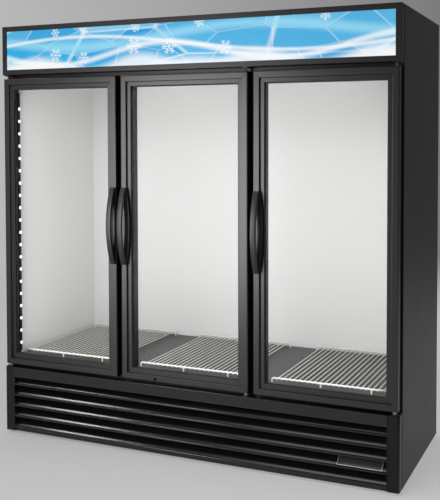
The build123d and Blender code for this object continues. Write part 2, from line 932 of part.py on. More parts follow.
def lock_plug():
    """Turning plug with its keyway and cam, shown unlocked with the cam level."""
    x, z = lock_axis()
    front = front_y - lock_flange
    cam_y = front_y + lock_barrel_length
    plug = rod((x, front, z), (x, cam_y + lock_cam_thickness, z), lock_plug_radius)
    half = lock_cam_width / 2
    cam_low = (x, cam_y, z - half)
    plug += block(cam_low, (x + lock_cam_length, cam_y + lock_cam_thickness, z + half))
    key_low = (x - keyway_width / 2, front - cut, z - keyway_height / 2)
    key_high = (x + keyway_width / 2, front + keyway_depth, z + keyway_height / 2)
    return plug - block(key_low, key_high)


# ---- Header sign -------------------------------------------------------------------------


def sign_housing():
    """Folded channel behind the sign: back, top and bottom."""
    front = front_y + bezel_depth
    outer = (header_half - header_sheet, face_y, cabinet_height)
    shell = block((-outer[0], front, header_z), outer)
    inner_low = (-header_half, front - cut, header_z + header_sheet)
    shell -= block(inner_low, (header_half, face_y - header_sheet, cabinet_height - header_sheet))
    flange = header_end_flange()
    return shell + flange + mirrored(flange)


def header_end_flange():
    """Turned-in lug at the right end of the housing that takes the end cap screws."""
    low_x = header_half - 2 * header_sheet
    high = (header_half - header_sheet, face_y, cabinet_height)
    flange = block((low_x, front_y + bezel_depth + sign_thickness + sign_clearance, header_z), high)
    for hole in screw_holes(header_screw_points(), (1, 0, 0)):
        flange -= hole
    return flange


def header_end_caps():
    """Screwed caps that close both ends of the header."""
    low = (header_half - header_sheet, front_y + bezel_depth, header_z)
    cap = block(low, (header_half, face_y, cabinet_height))
    for hole in screw_holes(header_screw_points(), (1, 0, 0)):
        cap -= hole
    return [cap, mirrored(cap)]


def sign_bezel():
    """Mitred frame round the sign panel."""
    section = outline(
        [(0, 0), (0, bezel_width), (bezel_depth, bezel_width), (bezel_depth, 0)],
        [bezel_radius, 0, 0, 0],
    )
    bars = mitred_ring(section, 2 * header_half, header_height, bezel_width)
    return [Pos(-header_half, front_y, header_z) * bar for bar in bars]


def sign_panel():
    """Translucent sign sheet held behind the bezel."""
    half = header_half - 2 * header_sheet - sign_clearance
    margin = header_sheet + sign_clearance
    y = front_y + bezel_depth
    low = (-half, y, header_z + margin)
    return block(low, (half, y + sign_thickness, cabinet_height - margin))


def sign_light_bars():
    """Two LED bars on the back of the housing."""
    half = header_half - light_bar_end_gap
    high_y = face_y - header_sheet
    bars = []
    for side in (-1, 1):
        z = header_z + header_height / 2 + side * light_bar_spread / 2
        low = (-half, high_y - light_bar_depth, z - light_bar_height / 2)
        bars.append(block(low, (half, high_y, z + light_bar_height / 2)))
    return bars


# ---- Base front --------------------------------------------------------------------------


def base_corner_posts():
    """Folded posts with a rounded outer corner at both ends of the grille."""
    inner_x = header_half - post_width
    plan = outline(
        [(inner_x, face_y), (inner_x, front_y), (header_half, front_y), (header_half, face_y)],
        [0, post_fold_radius, post_radius, 0],
    )
    hollow = outline(
        [
            (inner_x + base_sheet, face_y),
            (inner_x + base_sheet, front_y + base_sheet),
            (header_half - base_sheet, front_y + base_sheet),
            (header_half - base_sheet, face_y),
        ],
        [0, 0, post_radius - base_sheet, 0],
    )
    post = along_z(plan, foot_height, base_top_z)
    post -= along_z(hollow, foot_height, base_top_z - base_sheet)
    return [post, mirrored(post)]


def louvre_section(lip_z):
    """Rolled lip, sloping blade and upright back flange, drawn as (y, z)."""
    angle = math.radians(louvre_angle)
    half_lip = louvre_lip / 2
    crest_z = lip_z + half_lip
    under_z = crest_z - base_sheet / math.cos(angle)
    back_y = louvre_depth + base_sheet
    fold_z = crest_z + (louvre_depth - louvre_crest) * math.tan(angle)
    points = [
        (louvre_lip_depth, lip_z - half_lip),
        (0, lip_z - half_lip),
        (0, crest_z),
        (louvre_crest, crest_z),
        (louvre_depth, fold_z),
        (louvre_depth, fold_z + louvre_flange),
        (back_y, fold_z + louvre_flange),
        (back_y, under_z + (back_y - louvre_crest) * math.tan(angle)),
        (louvre_lip_depth, under_z + (louvre_lip_depth - louvre_crest) * math.tan(angle)),
    ]
    radii = [0, louvre_lip_radius, louvre_lip_radius, 0, 0, 0, 0, 0, 0]
    return Pos(front_y, 0) * outline(points, radii)


def grille_band():
    """Folded top band of the grille, with the slot for the lock cam."""
    section = outline(
        [
            (front_y, band_z),
            (front_y, base_top_z),
            (face_y, base_top_z),
            (face_y, base_top_z - base_sheet),
            (front_y + base_sheet, base_top_z - base_sheet),
            (front_y + base_sheet, band_z + base_sheet),
            (front_y + band_return, band_z + base_sheet),
            (front_y + band_return, band_z),
        ],
        [0, band_radius, 0, 0, 0, 0, 0, 0],
    )
    band = along_x(section, -grille_half, grille_half)
    return band - cam_sweep_box(base_top_z - 2 * base_sheet, base_top_z + cut)


def louvre_grille():
    """Removable louvred panel, spot-welded from a band, side plates, blades, straps and a kick strip."""
    band = grille_band()
    reach = grille_half - base_sheet
    top = base_top_z - base_sheet
    side = block((reach, front_y, foot_height), (grille_half, face_y, top)) - band
    pieces = [band, side, mirrored(side)]
    for index in range(louvre_count):
        section = louvre_section(lowest_lip_z + index * louvre_pitch)
        pieces.append(along_x(section, -reach, reach))
    kick_y = front_y + kick_strip_setback
    kick_top = lowest_lip_z - louvre_lip / 2
    pieces.append(block((-reach, kick_y - base_sheet, foot_height), (reach, kick_y, kick_top)))
    strap_y = front_y + louvre_depth + base_sheet
    for index in range(strap_count):
        x = grille_half * (2 * (index + 1) / (strap_count + 1) - 1)
        low = (x - strap_width / 2, strap_y, foot_height)
        pieces.append(block(low, (x + strap_width / 2, strap_y + base_sheet, top)))
    return pieces


def badge_plate():
    """Blank plate with a raised rim, lying on the slope of one louvre blade."""
    angle = math.radians(louvre_angle)
    up_slope = badge_above_lip + badge_height / 2
    x = grille_half - badge_from_post - badge_length / 2
    y = front_y + louvre_crest + up_slope * math.cos(angle)
    z = lowest_lip_z + badge_louvre * louvre_pitch + louvre_lip / 2 + up_slope * math.sin(angle)
    normal = (0, -math.sin(angle), math.cos(angle))
    slope = Plane(origin=(x, y, z), x_dir=(1, 0, 0), z_dir=normal)
    plate = RectangleRounded(badge_length, badge_height, badge_corner)
    window = Rectangle(badge_length - 2 * badge_rim_width, badge_height - 2 * badge_rim_width)
    badge = extrude(slope * plate, badge_thickness)
    return badge + extrude(slope * (plate - window), badge_thickness + badge_rim_height)


# ---- Base frame --------------------------------------------------------------------------


def foot_places():
    """Plan position of every levelling foot."""
    outer = half_width - foot_side_inset
    front = face_y + rail_flange / 2 + rail_sheet
    back = frame_back_y - rail_flange / 2 - rail_sheet
    return [(x, y) for x in (-outer, 0.0, outer) for y in (front, back)]


def rail_section(web, inside):
    """Channel section drawn as (across, z), with its web at one place and flanges to one side."""
    top = rail_top_z
    return outline(
        [
            (web, foot_height),
            (web, top),
            (web + inside * rail_flange, top),
            (web + inside * rail_flange, top - rail_sheet),
            (web + inside * rail_sheet, top - rail_sheet),
            (web + inside * rail_sheet, foot_height + rail_sheet),
            (web + inside * rail_flange, foot_height + rail_sheet),
            (web + inside * rail_flange, foot_height),
        ]
    )


def base_frame():
    """Welded channel frame with corner uprights and the deck under the cabinet."""
    back_y = frame_back_y
    reach = inner_skin_x - rail_sheet
    frame = along_x(rail_section(face_y, 1), -reach, reach)
    frame += along_x(rail_section(back_y, -1), -reach, reach)
    side = along_y(rail_section(inner_skin_x, -1), face_y, back_y)
    frame += side
    frame += mirrored(side)
    unit_rail = along_y(rail_section(tray_width / 2, -1), face_y + rail_sheet, back_y - rail_sheet)
    frame += unit_rail
    frame += mirrored(unit_rail)
    frame += block((-inner_skin_x, face_y, base_top_z - deck_sheet), (inner_skin_x, back_y, base_top_z))
    flange_low = (-inner_skin_x, back_y - deck_sheet, base_top_z - deck_flange)
    frame += block(flange_low, (inner_skin_x, back_y, base_top_z))
    for y, out in ((face_y, 1), (back_y, -1)):
        edges = sorted((y, y + out * rail_sheet))
        legs = sorted((y, y + out * upright_width))
        upright = block(
            (inner_skin_x - upright_width, edges[0], rail_top_z), (inner_skin_x, edges[1], base_top_z)
        )
        upright += block(
            (inner_skin_x - rail_sheet, legs[0], rail_top_z), (inner_skin_x, legs[1], base_top_z)
        )
        frame += upright
        frame += mirrored(upright)
    for x, y in foot_places():
        hole_radius = foot_stud_radius + 2 * loose_clearance
        hole_top = foot_height + rail_sheet + cut
        frame -= wire((x, y, foot_height - cut), (x, y, hole_top), hole_radius)
    for hole in screw_holes(cover_screw_points(), (0, 1, 0)):
        frame -= hole
    return frame


def levelling_feet():
    """Threaded feet: pad, hexagon and stud."""
    feet = []
    for x, y in foot_places():
        foot = wire((x, y, 0), (x, y, foot_pad_height), foot_pad_radius, round_sides)
        foot += wire((x, y, foot_pad_height), (x, y, foot_height), foot_hex_radius)
        stud_top = foot_height + foot_stud_height
        feet.append(foot + wire((x, y, foot_height), (x, y, stud_top), foot_stud_radius))
    return feet


# ---- Condensing unit ---------------------------------------------------------------------


def fan(radius, hub_radius, chord, blades):
    """Axial fan with folded blades on a hub and shaft, turning about Y at the origin."""
    half = chord / 2
    top = [(-half, 0), (0, fan_blade_camber), (half, 0)]
    under = [(x, y - fan_blade_thickness) for x, y in reversed(top)]
    tip = math.sqrt(radius**2 - half**2)
    blade = along_z(outline(top + under), hub_radius - fan_blade_root, tip)
    blade = Rot(0, 0, fan_blade_pitch) * blade
    wheel = wire((0, -fan_hub_depth / 2, 0), (0, fan_hub_depth / 2, 0), hub_radius, round_sides)
    wheel = chamfer(wheel.faces().sort_by(Axis.Y)[0].edges(), fan_hub_chamfer)
    for index in range(blades):
        wheel += Rot(0, 360 * index / blades, 0) * blade
    shaft_end = fan_hub_depth / 2 + fan_shaft_length
    return wheel + rod((0, 0, 0), (0, shaft_end, 0), fan_shaft_radius)


def motor(radius, length):
    """Fan motor behind a fan at the origin, bored for the fan shaft."""
    front = fan_hub_depth / 2 + motor_gap
    body = wire((0, front, 0), (0, front + length, 0), radius, round_sides)
    bore_end = fan_hub_depth / 2 + fan_shaft_length + cut
    return body - rod((0, front - cut, 0), (0, bore_end, 0), fan_shaft_radius + running_clearance)


def unit_tray():
    """Slide-out tray on the base rails."""
    low_y = face_y + tray_setback
    high_y = frame_back_y - tray_rear_gap
    half = tray_width / 2
    high_z = rail_top_z + tray_sheet
    tray = block((-half, low_y, rail_top_z), (half, high_y, high_z))
    side = block((half - tray_sheet, low_y, rail_top_z), (half, high_y, rail_top_z + tray_flange))
    tray += side
    tray += mirrored(side)
    tray += block((-half, high_y - tray_sheet, rail_top_z), (half, high_y, rail_top_z + tray_flange))
    return tray


def coil_front_y():
    """Front of the condenser coil."""
    return face_y + tray_setback + coil_setback


def coil_half():
    """Half the width of the fin pack, which fills what the control box leaves of the tray."""
    header_reach = 2 * coil_header_radius - coil_header_sink
    return control_box_corner()[0] - coil_side_gap - header_reach


def condenser_coil():
    """Flat-tube condenser: fin pack, end plates and an upright header tube at each side."""
    low_y = coil_front_y()
    high_y = low_y + coil_depth
    middle_y = low_y + coil_depth / 2
    half = coil_half()
    top = tray_z + coil_height
    coil = block((-half, low_y, tray_z), (half, high_y, top))
    for side in (-1, 1):
        x = side * (half + coil_header_radius - coil_header_sink)
        coil += wire((x, middle_y, tray_z), (x, middle_y, top), coil_header_radius, round_sides)
    stub_z = top - coil_stub_drop
    x = -half - 2 * coil_header_radius + coil_header_sink
    for z in (stub_z, tray_z + coil_stub_drop):
        start = (x + coil_header_radius, middle_y, z)
        coil += wire(start, (x - coil_stub, middle_y, z), tube_radius + coil_stub_wall)
    return coil


def fan_centre():
    """Centre of the condenser fan."""
    y = coil_front_y() + coil_depth + shroud_depth - condenser_fan_inset
    return 0.0, y, tray_z + coil_height / 2


def condenser_fan_shroud():
    """Sheet shroud with a round mouth, between the coil and the fan."""
    low_y = coil_front_y() + coil_depth
    high_y = low_y + shroud_depth
    half = coil_half()
    top = tray_z + coil_height
    shroud = block((-half, low_y, tray_z), (half, high_y, top))
    inner_low = (-half + shroud_sheet, low_y - cut, tray_z - cut)
    shroud -= block(inner_low, (half - shroud_sheet, high_y - shroud_sheet, top - shroud_sheet))
    x, y, z = fan_centre()
    mouth = condenser_fan_radius + fan_tip_gap
    shroud += rod((x, high_y - shroud_mouth_depth, z), (x, high_y, z), mouth + shroud_sheet)
    return shroud - rod((x, low_y - cut, z), (x, high_y + cut, z), mouth)


def condenser_fan():
    """Fan that draws air through the condenser."""
    wheel = fan(condenser_fan_radius, fan_hub_radius, fan_blade_chord, condenser_fan_blades)
    return Pos(*fan_centre()) * wheel


def condenser_fan_motor():
    """Fan motor on two crossed arms fixed to the shroud."""
    x, y, z = fan_centre()
    body = Pos(x, y, z) * motor(motor_radius, motor_length)
    back_y = coil_front_y() + coil_depth + shroud_depth
    arm_back = back_y + motor_arm_thickness
    reach = condenser_fan_radius + fan_tip_gap + motor_arm_width / 2
    half_arm = motor_arm_width / 2
    arms = block((x - reach, back_y, z - half_arm), (x + reach, arm_back, z + half_arm))
    arms += block((x - half_arm, back_y, z - reach), (x + half_arm, arm_back, z + reach))
    middle = motor_radius - 2 * fuse
    return body + (arms - wire((x, back_y - cut, z), (x, arm_back + cut, z), middle, round_sides))


def compressor_centre():
    """Plan position of the compressor."""
    x = compressor_foot_spread + compressor_foot_radius + compressor_side_margin - tray_width / 2
    back_y = frame_back_y - tray_rear_gap - compressor_margin
    return x, back_y - compressor_foot_spread - compressor_foot_radius


def compressor():
    """Hermetic compressor on a foot plate, and its four rubber mounts."""
    x, y = compressor_centre()
    plate_z = tray_z + grommet_height
    spread = 2 * compressor_foot_spread
    side = spread + 2 * compressor_foot_radius
    plate = along_z(Pos(x, y) * Rectangle(side, side), plate_z, plate_z + compressor_plate)
    plate = chamfer(plate.edges().filter_by(Axis.Z), compressor_foot_radius)
    low = plate_z + compressor_plate
    top = low + compressor_height
    seam_z = low + compressor_seam_height
    inner_radius = compressor_radius - compressor_seam
    centre_radius = inner_radius - compressor_dome
    dome = []
    for step in range(compressor_dome_steps + 1):
        angle = math.radians(90 * step / compressor_dome_steps)
        rise = top - compressor_dome + compressor_dome * math.sin(angle)
        dome.append((centre_radius + compressor_dome * math.cos(angle), rise))
    can = outline(
        [
            (0, low - fuse),
            (inner_radius - compressor_toe_inset, low - fuse),
            (inner_radius, low + compressor_toe),
            (inner_radius, seam_z),
            (compressor_radius, seam_z),
            (compressor_radius, seam_z + compressor_seam),
            (inner_radius, seam_z + compressor_seam),
            *dome,
            (0, top),
        ]
    )
    body = Pos(x, y, 0) * revolve(Plane.XZ * can, Axis.Z)
    cover_x = x + inner_radius - terminal_cover_sink
    cover_z = low + terminal_cover_level
    half_cover = terminal_cover_width / 2
    cover_high = (cover_x + terminal_cover_depth, y + half_cover, cover_z + terminal_cover_height)
    body += block((cover_x, y - half_cover, cover_z), cover_high)
    body += plate
    level = tube_level()
    stub_end = compressor_radius + compressor_stub
    body += wire((x, y, level), (x, y - stub_end, level), tube_radius + coil_stub_wall)
    body += wire((x, y, level), (x, y + stub_end, level), suction_tube_radius + coil_stub_wall)
    mounts = []
    for side_x in (-1, 1):
        for side_y in (-1, 1):
            foot = (x + side_x * compressor_foot_spread, y + side_y * compressor_foot_spread)
            mounts.append(wire((*foot, tray_z), (*foot, plate_z), grommet_radius))
    return [body] + mounts


def tube_level():
    """Height of the compressor's tube stubs."""
    return tray_z + grommet_height + compressor_plate + compressor_height * tube_level_share


def coil_inlet():
    """Upper stub end of the condenser; the lower one is straight below."""
    x = -coil_half() - 2 * coil_header_radius + coil_header_sink - coil_stub
    return x, coil_front_y() + coil_depth / 2, tray_z + coil_height - coil_stub_drop


def refrigerant_lines():
    """Discharge, liquid and suction tubes, with the filter drier on the liquid line."""
    x, y = compressor_centre()
    stub_end = compressor_radius + compressor_stub
    level = tube_level()
    coil_x, coil_y, inlet_z = coil_inlet()
    side_x = tube_side_margin - tray_width / 2
    discharge = bent_wire(
        [
            (x, y - stub_end, level),
            (x, y - stub_end - tube_lead, level),
            (side_x, y - stub_end - tube_lead, level),
            (side_x, coil_y, inlet_z),
            (coil_x, coil_y, inlet_z),
        ],
        tube_radius,
        tube_bend,
    )
    back_y = y + stub_end + tube_lead
    suction = bent_wire(
        [
            (x, y + stub_end, level),
            (x, back_y, level),
            (x + suction_run, back_y, level),
            (x + suction_run, back_y, base_top_z - deck_sheet),
        ],
        suction_tube_radius,
        tube_bend,
    )
    outlet_z = tray_z + coil_stub_drop
    cone = outline(
        [
            (0, 0),
            (tube_radius, 0),
            (drier_radius, drier_cone),
            (drier_radius, drier_length - drier_cone),
            (tube_radius, drier_length),
            (0, drier_length),
        ]
    )
    drier_y = coil_y + tube_bend * 2
    drier = Pos(side_x, drier_y, outlet_z) * Rot(-90, 0, 0) * revolve(Plane.XZ * cone, Axis.Z)
    feed_points = [(coil_x, coil_y, outlet_z), (side_x, coil_y, outlet_z), (side_x, drier_y + fuse, outlet_z)]
    feed = bent_wire(feed_points, tube_radius, tube_bend)
    tail_y = drier_y + drier_length
    tail_points = [
        (side_x, tail_y - fuse, outlet_z),
        (side_x, tail_y + tube_lead, outlet_z),
        (side_x, tail_y + tube_lead, base_top_z - deck_sheet),
    ]
    tail = bent_wire(tail_points, tube_radius, tube_bend)
    return [discharge, suction, drier + feed + tail]


def control_box_corner():
    """Low corner of the control box, beside the coil."""
    return tray_width / 2 - control_box_margin - control_box_width, coil_front_y(), tray_z


def control_box():
    """Sheet box with the wiring and the temperature control."""
    x, y, z = control_box_corner()
    box = block((x, y, z), (x + control_box_width, y + control_box_depth, z + control_box_height))
    knob_x, knob_z = knob_axis()
    bore = knob_shaft_radius + running_clearance
    bore_end = y + knob_shaft_length + cut
    return box - rod((knob_x, y - cut, knob_z), (knob_x, bore_end, knob_z), bore)


def knob_axis():
    """X and Z of the temperature knob."""
    x, y, z = control_box_corner()
    return x + control_box_width / 2, z + knob_level


def temperature_knob():
    """Temperature control knob with a pointer rib and its shaft."""
    x, z = knob_axis()
    back = control_box_corner()[1] - knob_gap
    front = back - knob_depth
    knob = wire((x, front, z), (x, back, z), knob_radius, round_sides)
    knob = chamfer(knob.faces().sort_by(Axis.Y)[0].edges(), knob_chamfer)
    half = knob_pointer / 2
    pointer_high = (x + half, front + knob_chamfer, z + knob_radius - knob_pointer_inset)
    knob += block((x - half, front - knob_pointer_rise, z), pointer_high)
    shaft_end = back + knob_gap + knob_shaft_length
    return knob + rod((x, back - fuse, z), (x, shaft_end, z), knob_shaft_radius)


def condensate_pan():
    """Open pan that catches and evaporates the defrost water."""
    x = tray_width / 2 - pan_width - pan_margin
    y = frame_back_y - tray_rear_gap - pan_depth - pan_margin
    outer = block((x, y, tray_z), (x + pan_width, y + pan_depth, tray_z + pan_height))
    inner_low = (x + pan_wall, y + pan_wall, tray_z + pan_wall)
    return outer - block(
        inner_low, (x + pan_width - pan_wall, y + pan_depth - pan_wall, tray_z + pan_height + cut)
    )


def gland_place():
    """X and Z of the power inlet gland in the rear cover."""
    return half_width - gland_from_side, foot_height + gland_height


def rear_cover():
    """Louvred back cover of the machine compartment."""
    high_y = rear_y - rear_cover_recess
    low_y = high_y - base_sheet
    reach = inner_skin_x
    low = (-reach, low_y, foot_height + base_sheet)
    cover = block(low, (reach, high_y, base_top_z - base_sheet))
    first_z = (foot_height + base_top_z) / 2 - rear_slot_pitch * (rear_slot_rows - 1) / 2
    first_x = -rear_slot_spacing * (rear_slot_columns - 1) / 2
    slots = Sketch()
    for column in range(rear_slot_columns):
        for row in range(rear_slot_rows):
            place = (first_x + column * rear_slot_spacing, first_z + row * rear_slot_pitch)
            slots += Pos(*place) * Rectangle(rear_slot_width, rear_slot_height)
    cover -= along_y(slots, low_y - cut, high_y + cut)
    for hole in screw_holes(cover_screw_points(), (0, 1, 0)):
        cover -= hole
    x, z = gland_place()
    hole_radius = gland_radius + loose_clearance
    return cover - wire((x, low_y - cut, z), (x, high_y + cut, z), hole_radius, round_sides)


def power_inlet_gland():
    """Flanged gland for the supply lead."""
    x, z = gland_place()
    high_y = rear_y - rear_cover_recess
    start_y = high_y - gland_length
    end_y = high_y + gland_length
    gland = wire((x, high_y, z), (x, end_y, z), gland_flange_radius)
    gland += wire((x, start_y, z), (x, high_y, z), gland_radius, round_sides)
    return gland - wire((x, start_y - cut, z), (x, end_y + cut, z), gland_bore_radius)


# ---- Evaporator --------------------------------------------------------------------------


def evaporator_front_y():
    """Front face of the evaporator cover."""
    return back_wall_y - evaporator_depth


def evaporator_fan_centres():
    """Centres of the evaporator fans."""
    y = evaporator_front_y() + evaporator_sheet + evaporator_fan_gap + fan_hub_depth / 2
    z = ceiling_z - evaporator_height / 2 + evaporator_fan_lift
    return [(side * evaporator_fan_spread / 2, y, z) for side in (-1, 1)]


def evaporator_cover():
    """Cover under the ceiling with pressed fan guards in its front."""
    front = evaporator_front_y()
    low = ceiling_z - evaporator_height
    corner = evaporator_chamfer

    def side_section(inset):
        shift = corner + inset * math.tan(math.radians(22.5))
        return outline(
            [
                (front + inset, low + shift),
                (front + inset, ceiling_z),
                (back_wall_y, ceiling_z),
                (back_wall_y, low + inset),
                (front + shift, low + inset),
            ]
        )

    half = evaporator_width / 2
    shell = along_x(side_section(0), -half, half)
    inner_half = half - evaporator_sheet
    cover = shell - along_x(side_section(evaporator_sheet), -inner_half, inner_half)
    for x, y, z in evaporator_fan_centres():
        cover -= along_y(Pos(x, z) * guard_openings(), front - cut, front + evaporator_sheet + cut)
    return cover


def guard_openings():
    """Level air slots of a fan guard, as long as a circle round the fan allows."""
    openings = Sketch()
    pitch = 2 * evaporator_fan_radius / guard_slot_count
    for slot in range(guard_slot_count):
        z = (slot + 0.5) * pitch - evaporator_fan_radius
        edge_z = abs(z) + pitch / 2 - guard_bar_width
        width = 2 * math.sqrt(evaporator_fan_radius**2 - edge_z**2)
        openings += Pos(0, z) * Rectangle(width, pitch - guard_bar_width)
    return openings


def evaporator_coil():
    """Finned block of the evaporator at the back of the cover."""
    half = evaporator_width / 2 - evaporator_coil_end_gap
    high_y = back_wall_y - evaporator_coil_gap
    low_z = ceiling_z - evaporator_height + evaporator_sheet + evaporator_coil_gap
    low = (-half, high_y - evaporator_coil_depth, low_z)
    coil = block(low, (half, high_y, low_z + evaporator_coil_height))
    for side in (-1, 1):
        edges = sorted((side * half, side * (half + evaporator_end_plate)))
        plate_low = (edges[0], high_y - evaporator_coil_depth, low_z)
        coil += block(plate_low, (edges[1], high_y, ceiling_z))
    return coil


def evaporator_fan(index):
    """One of the evaporator fans."""
    radius = evaporator_fan_radius - fan_tip_gap
    wheel = fan(radius, evaporator_hub_radius, evaporator_blade_chord, evaporator_fan_blades)
    return Pos(*evaporator_fan_centres()[index]) * wheel


def evaporator_fan_motors():
    """Fan motors on straps hung from the ceiling."""
    motors = []
    for x, y, z in evaporator_fan_centres():
        body = Pos(x, y, z) * motor(evaporator_motor_radius, evaporator_motor_length)
        middle = y + fan_hub_depth / 2 + motor_gap + evaporator_motor_length / 2
        half_strap = evaporator_strap_depth / 2
        strap_low = (x - motor_arm_width, middle - half_strap, z + evaporator_motor_radius / 2)
        motors.append(body + block(strap_low, (x + motor_arm_width, middle + half_strap, ceiling_z)))
    return motors


# ---- Nodes -------------------------------------------------------------------------------


def fixed_nodes():
    """Every node of the cabinet that stays still."""
    panel = side_panel()
    return {
        "side_panel_left": mirrored(panel),
        "side_panel_right": panel,
        "top_panel": top_panel(),
        "rear_panel": rear_panel(),
        "foam_insulation": foam_insulation(),
        "inner_liner": inner_liner(),
        "interior_floor_pan": interior_floor_pan(),
        "front_face_frame": front_face_frame(),
        "led_channels": led_channels(),
        "led_lenses": led_lenses(),
        "floor_racks": floor_racks(),
        "sign_housing": sign_housing(),
        "header_end_caps": header_end_caps(),
        "sign_bezel": sign_bezel(),
        "sign_panel": sign_panel(),
        "sign_light_bars": sign_light_bars(),
        "base_corner_posts": base_corner_posts(),
        "base_frame": base_frame(),
        "louvre_grille": louvre_grille(),
        "badge_plate": badge_plate(),
        "levelling_feet": levelling_feet(),
        "hinge_brackets": hinge_brackets(),
        "casing_screws": all_screws(),
        "unit_tray": unit_tray(),
        "compressor": compressor(),
        "condenser_coil": condenser_coil(),
        "condenser_fan_shroud": condenser_fan_shroud(),
        "condenser_fan_motor": condenser_fan_motor(),
        "refrigerant_lines": refrigerant_lines(),
        "control_box": control_box(),
        "condensate_pan": condensate_pan(),
        "rear_cover": rear_cover(),
        "power_inlet_gland": power_inlet_gland(),
        "evaporator_cover": evaporator_cover(),
        "evaporator_coil": evaporator_coil(),
        "evaporator_fan_motors": evaporator_fan_motors(),
    }


def moving_nodes():
    """Every node that turns or swings."""
    nodes = {
        "condenser_fan": condenser_fan(),
        "evaporator_fan_left": evaporator_fan(0),
        "evaporator_fan_right": evaporator_fan(1),
        "temperature_knob": temperature_knob(),
        "lock_barrel": lock_barrel(),
        "lock_plug": lock_plug(),
    }
    for index in range(door_count):
        name = f"door_{index + 1}"
        nodes[f"{name}_frame"] = door_frame(index)
        nodes[f"{name}_glass"] = glass_panes(index)
        nodes[f"{name}_spacer"] = glass_spacer(index)
        nodes[f"{name}_gasket"] = door_gasket(index)
        nodes[f"{name}_hinge_bushes"] = hinge_bushes(index)
        nodes[f"{name}_handle"] = handle(index)
    return nodes


def write_nodes(nodes):
    """Write one STEP file for each node."""
    os.makedirs("parts", exist_ok=True)
    for name, shape in nodes.items():
        pieces = shape if isinstance(shape, list) else [shape]
        solids = [solid for piece in pieces for solid in piece.solids()]
        body = solids[0] if len(solids) == 1 else Compound(children=solids)
        export_step(body, f"parts/{name}.step")


write_nodes({**fixed_nodes(), **moving_nodes()})
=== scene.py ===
import math

import bmesh
import bpy
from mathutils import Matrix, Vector


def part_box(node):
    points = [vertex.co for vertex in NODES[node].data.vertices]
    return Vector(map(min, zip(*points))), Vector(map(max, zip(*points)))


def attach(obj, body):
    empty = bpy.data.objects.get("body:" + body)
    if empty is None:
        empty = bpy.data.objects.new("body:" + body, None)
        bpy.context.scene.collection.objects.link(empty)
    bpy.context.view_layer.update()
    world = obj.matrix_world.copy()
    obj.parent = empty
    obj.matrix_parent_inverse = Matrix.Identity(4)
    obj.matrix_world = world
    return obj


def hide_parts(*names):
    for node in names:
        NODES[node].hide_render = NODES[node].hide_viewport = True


bl_info = {
    "name": "Ice merchandiser freezer",
    "version": (1, 0, 0),
    "blender": (4, 5, 0),
    "location": "View3D > Sidebar > Freezer",
    "description": "Finishes and fine pieces of a three-door glass-front ice merchandiser freezer",
    "category": "Object",
}

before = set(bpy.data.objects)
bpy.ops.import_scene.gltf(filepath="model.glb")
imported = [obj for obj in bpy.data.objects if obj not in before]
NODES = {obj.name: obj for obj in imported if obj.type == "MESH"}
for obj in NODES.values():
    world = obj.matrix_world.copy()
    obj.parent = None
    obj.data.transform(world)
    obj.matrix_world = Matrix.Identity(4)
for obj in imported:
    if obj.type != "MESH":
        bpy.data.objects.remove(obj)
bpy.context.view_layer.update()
MM = 0.001
DOORS = ("door_1", "door_2", "door_3")
X, Y, Z = Vector((1, 0, 0)), Vector((0, 1, 0)), Vector((0, 0, 1))


# ---- Colours and sizes that a user may change ---------------------------------------------


def linear(hexa):
    """Linear RGBA of an sRGB hex colour."""
    parts = [int(hexa[i:i + 2], 16) / 255 for i in (0, 2, 4)]
    return tuple(c / 12.92 if c <= 0.04045 else ((c + 0.055) / 1.055) ** 2.4 for c in parts) + (1.0,)


def colour_prop(name, hexa, description):
    """Colour property with an sRGB hex default."""
    return bpy.props.FloatVectorProperty(
        name=name, description=description, subtype="COLOR", size=4, min=0.0, max=1.0, default=linear(hexa)
    )


def length_prop(name, millimetres, description):
    """Length property with a default in millimetres."""
    return bpy.props.FloatProperty(
        name=name, description=description, subtype="DISTANCE", unit="LENGTH", min=0.0,
        default=millimetres * MM,
    )


class FreezerFinishes(bpy.types.PropertyGroup):
    """Colours of the freezer's finishes."""

    casing: colour_prop("Casing", "111112", "Powder coat of the sides, the roof and the header's housing")
    trim: colour_prop("Trim", "0c0c0d", "Powder coat of the sign bezel, the steel frames and the hinges")
    extrusion: colour_prop("Door frames", "0c0c0d", "Black anodised door profiles")
    moulding: colour_prop("Handles", "1b1b1c", "Moulded plastic of the handles")
    liner: colour_prop("Liner", "e8e8e7", "Pre-painted white lining of the storage space")
    wire: colour_prop("Rack wire", "ece9e2", "Powder coat of the floor racks")
    sign_deep: colour_prop("Sign deep", "009cda", "Darkest blue of the sign sheet")
    sign_mid: colour_prop("Sign middle", "0cb6ea", "Middle blue of the sign sheet")
    sign_pale: colour_prop("Sign pale", "9ee2f8", "Palest blue of the sign sheet")


class FreezerDetails(bpy.types.PropertyGroup):
    """Sizes of the fine pieces."""

    edge: length_prop("Sheet edge", 0.4, "Rounding of cut sheet edges")
    grip_round: length_prop("Grip rounding", 3.2, "Rounding of the front edges of a handle")
    led_pitch: length_prop("LED pitch", 61.1, "Distance between two LEDs on a strip")
    led_start: length_prop("LED start", 37.6, "Foot of a strip to its first LED")
    led_height: length_prop("LED height", 16.0, "Length of one LED lens along its strip")
    led_count: bpy.props.IntProperty(name="LEDs", description="LEDs on one strip", default=20, min=1)
    rack_wires: bpy.props.IntProperty(
        name="Rack wires", description="Cross wires of one floor rack", default=21, min=2
    )


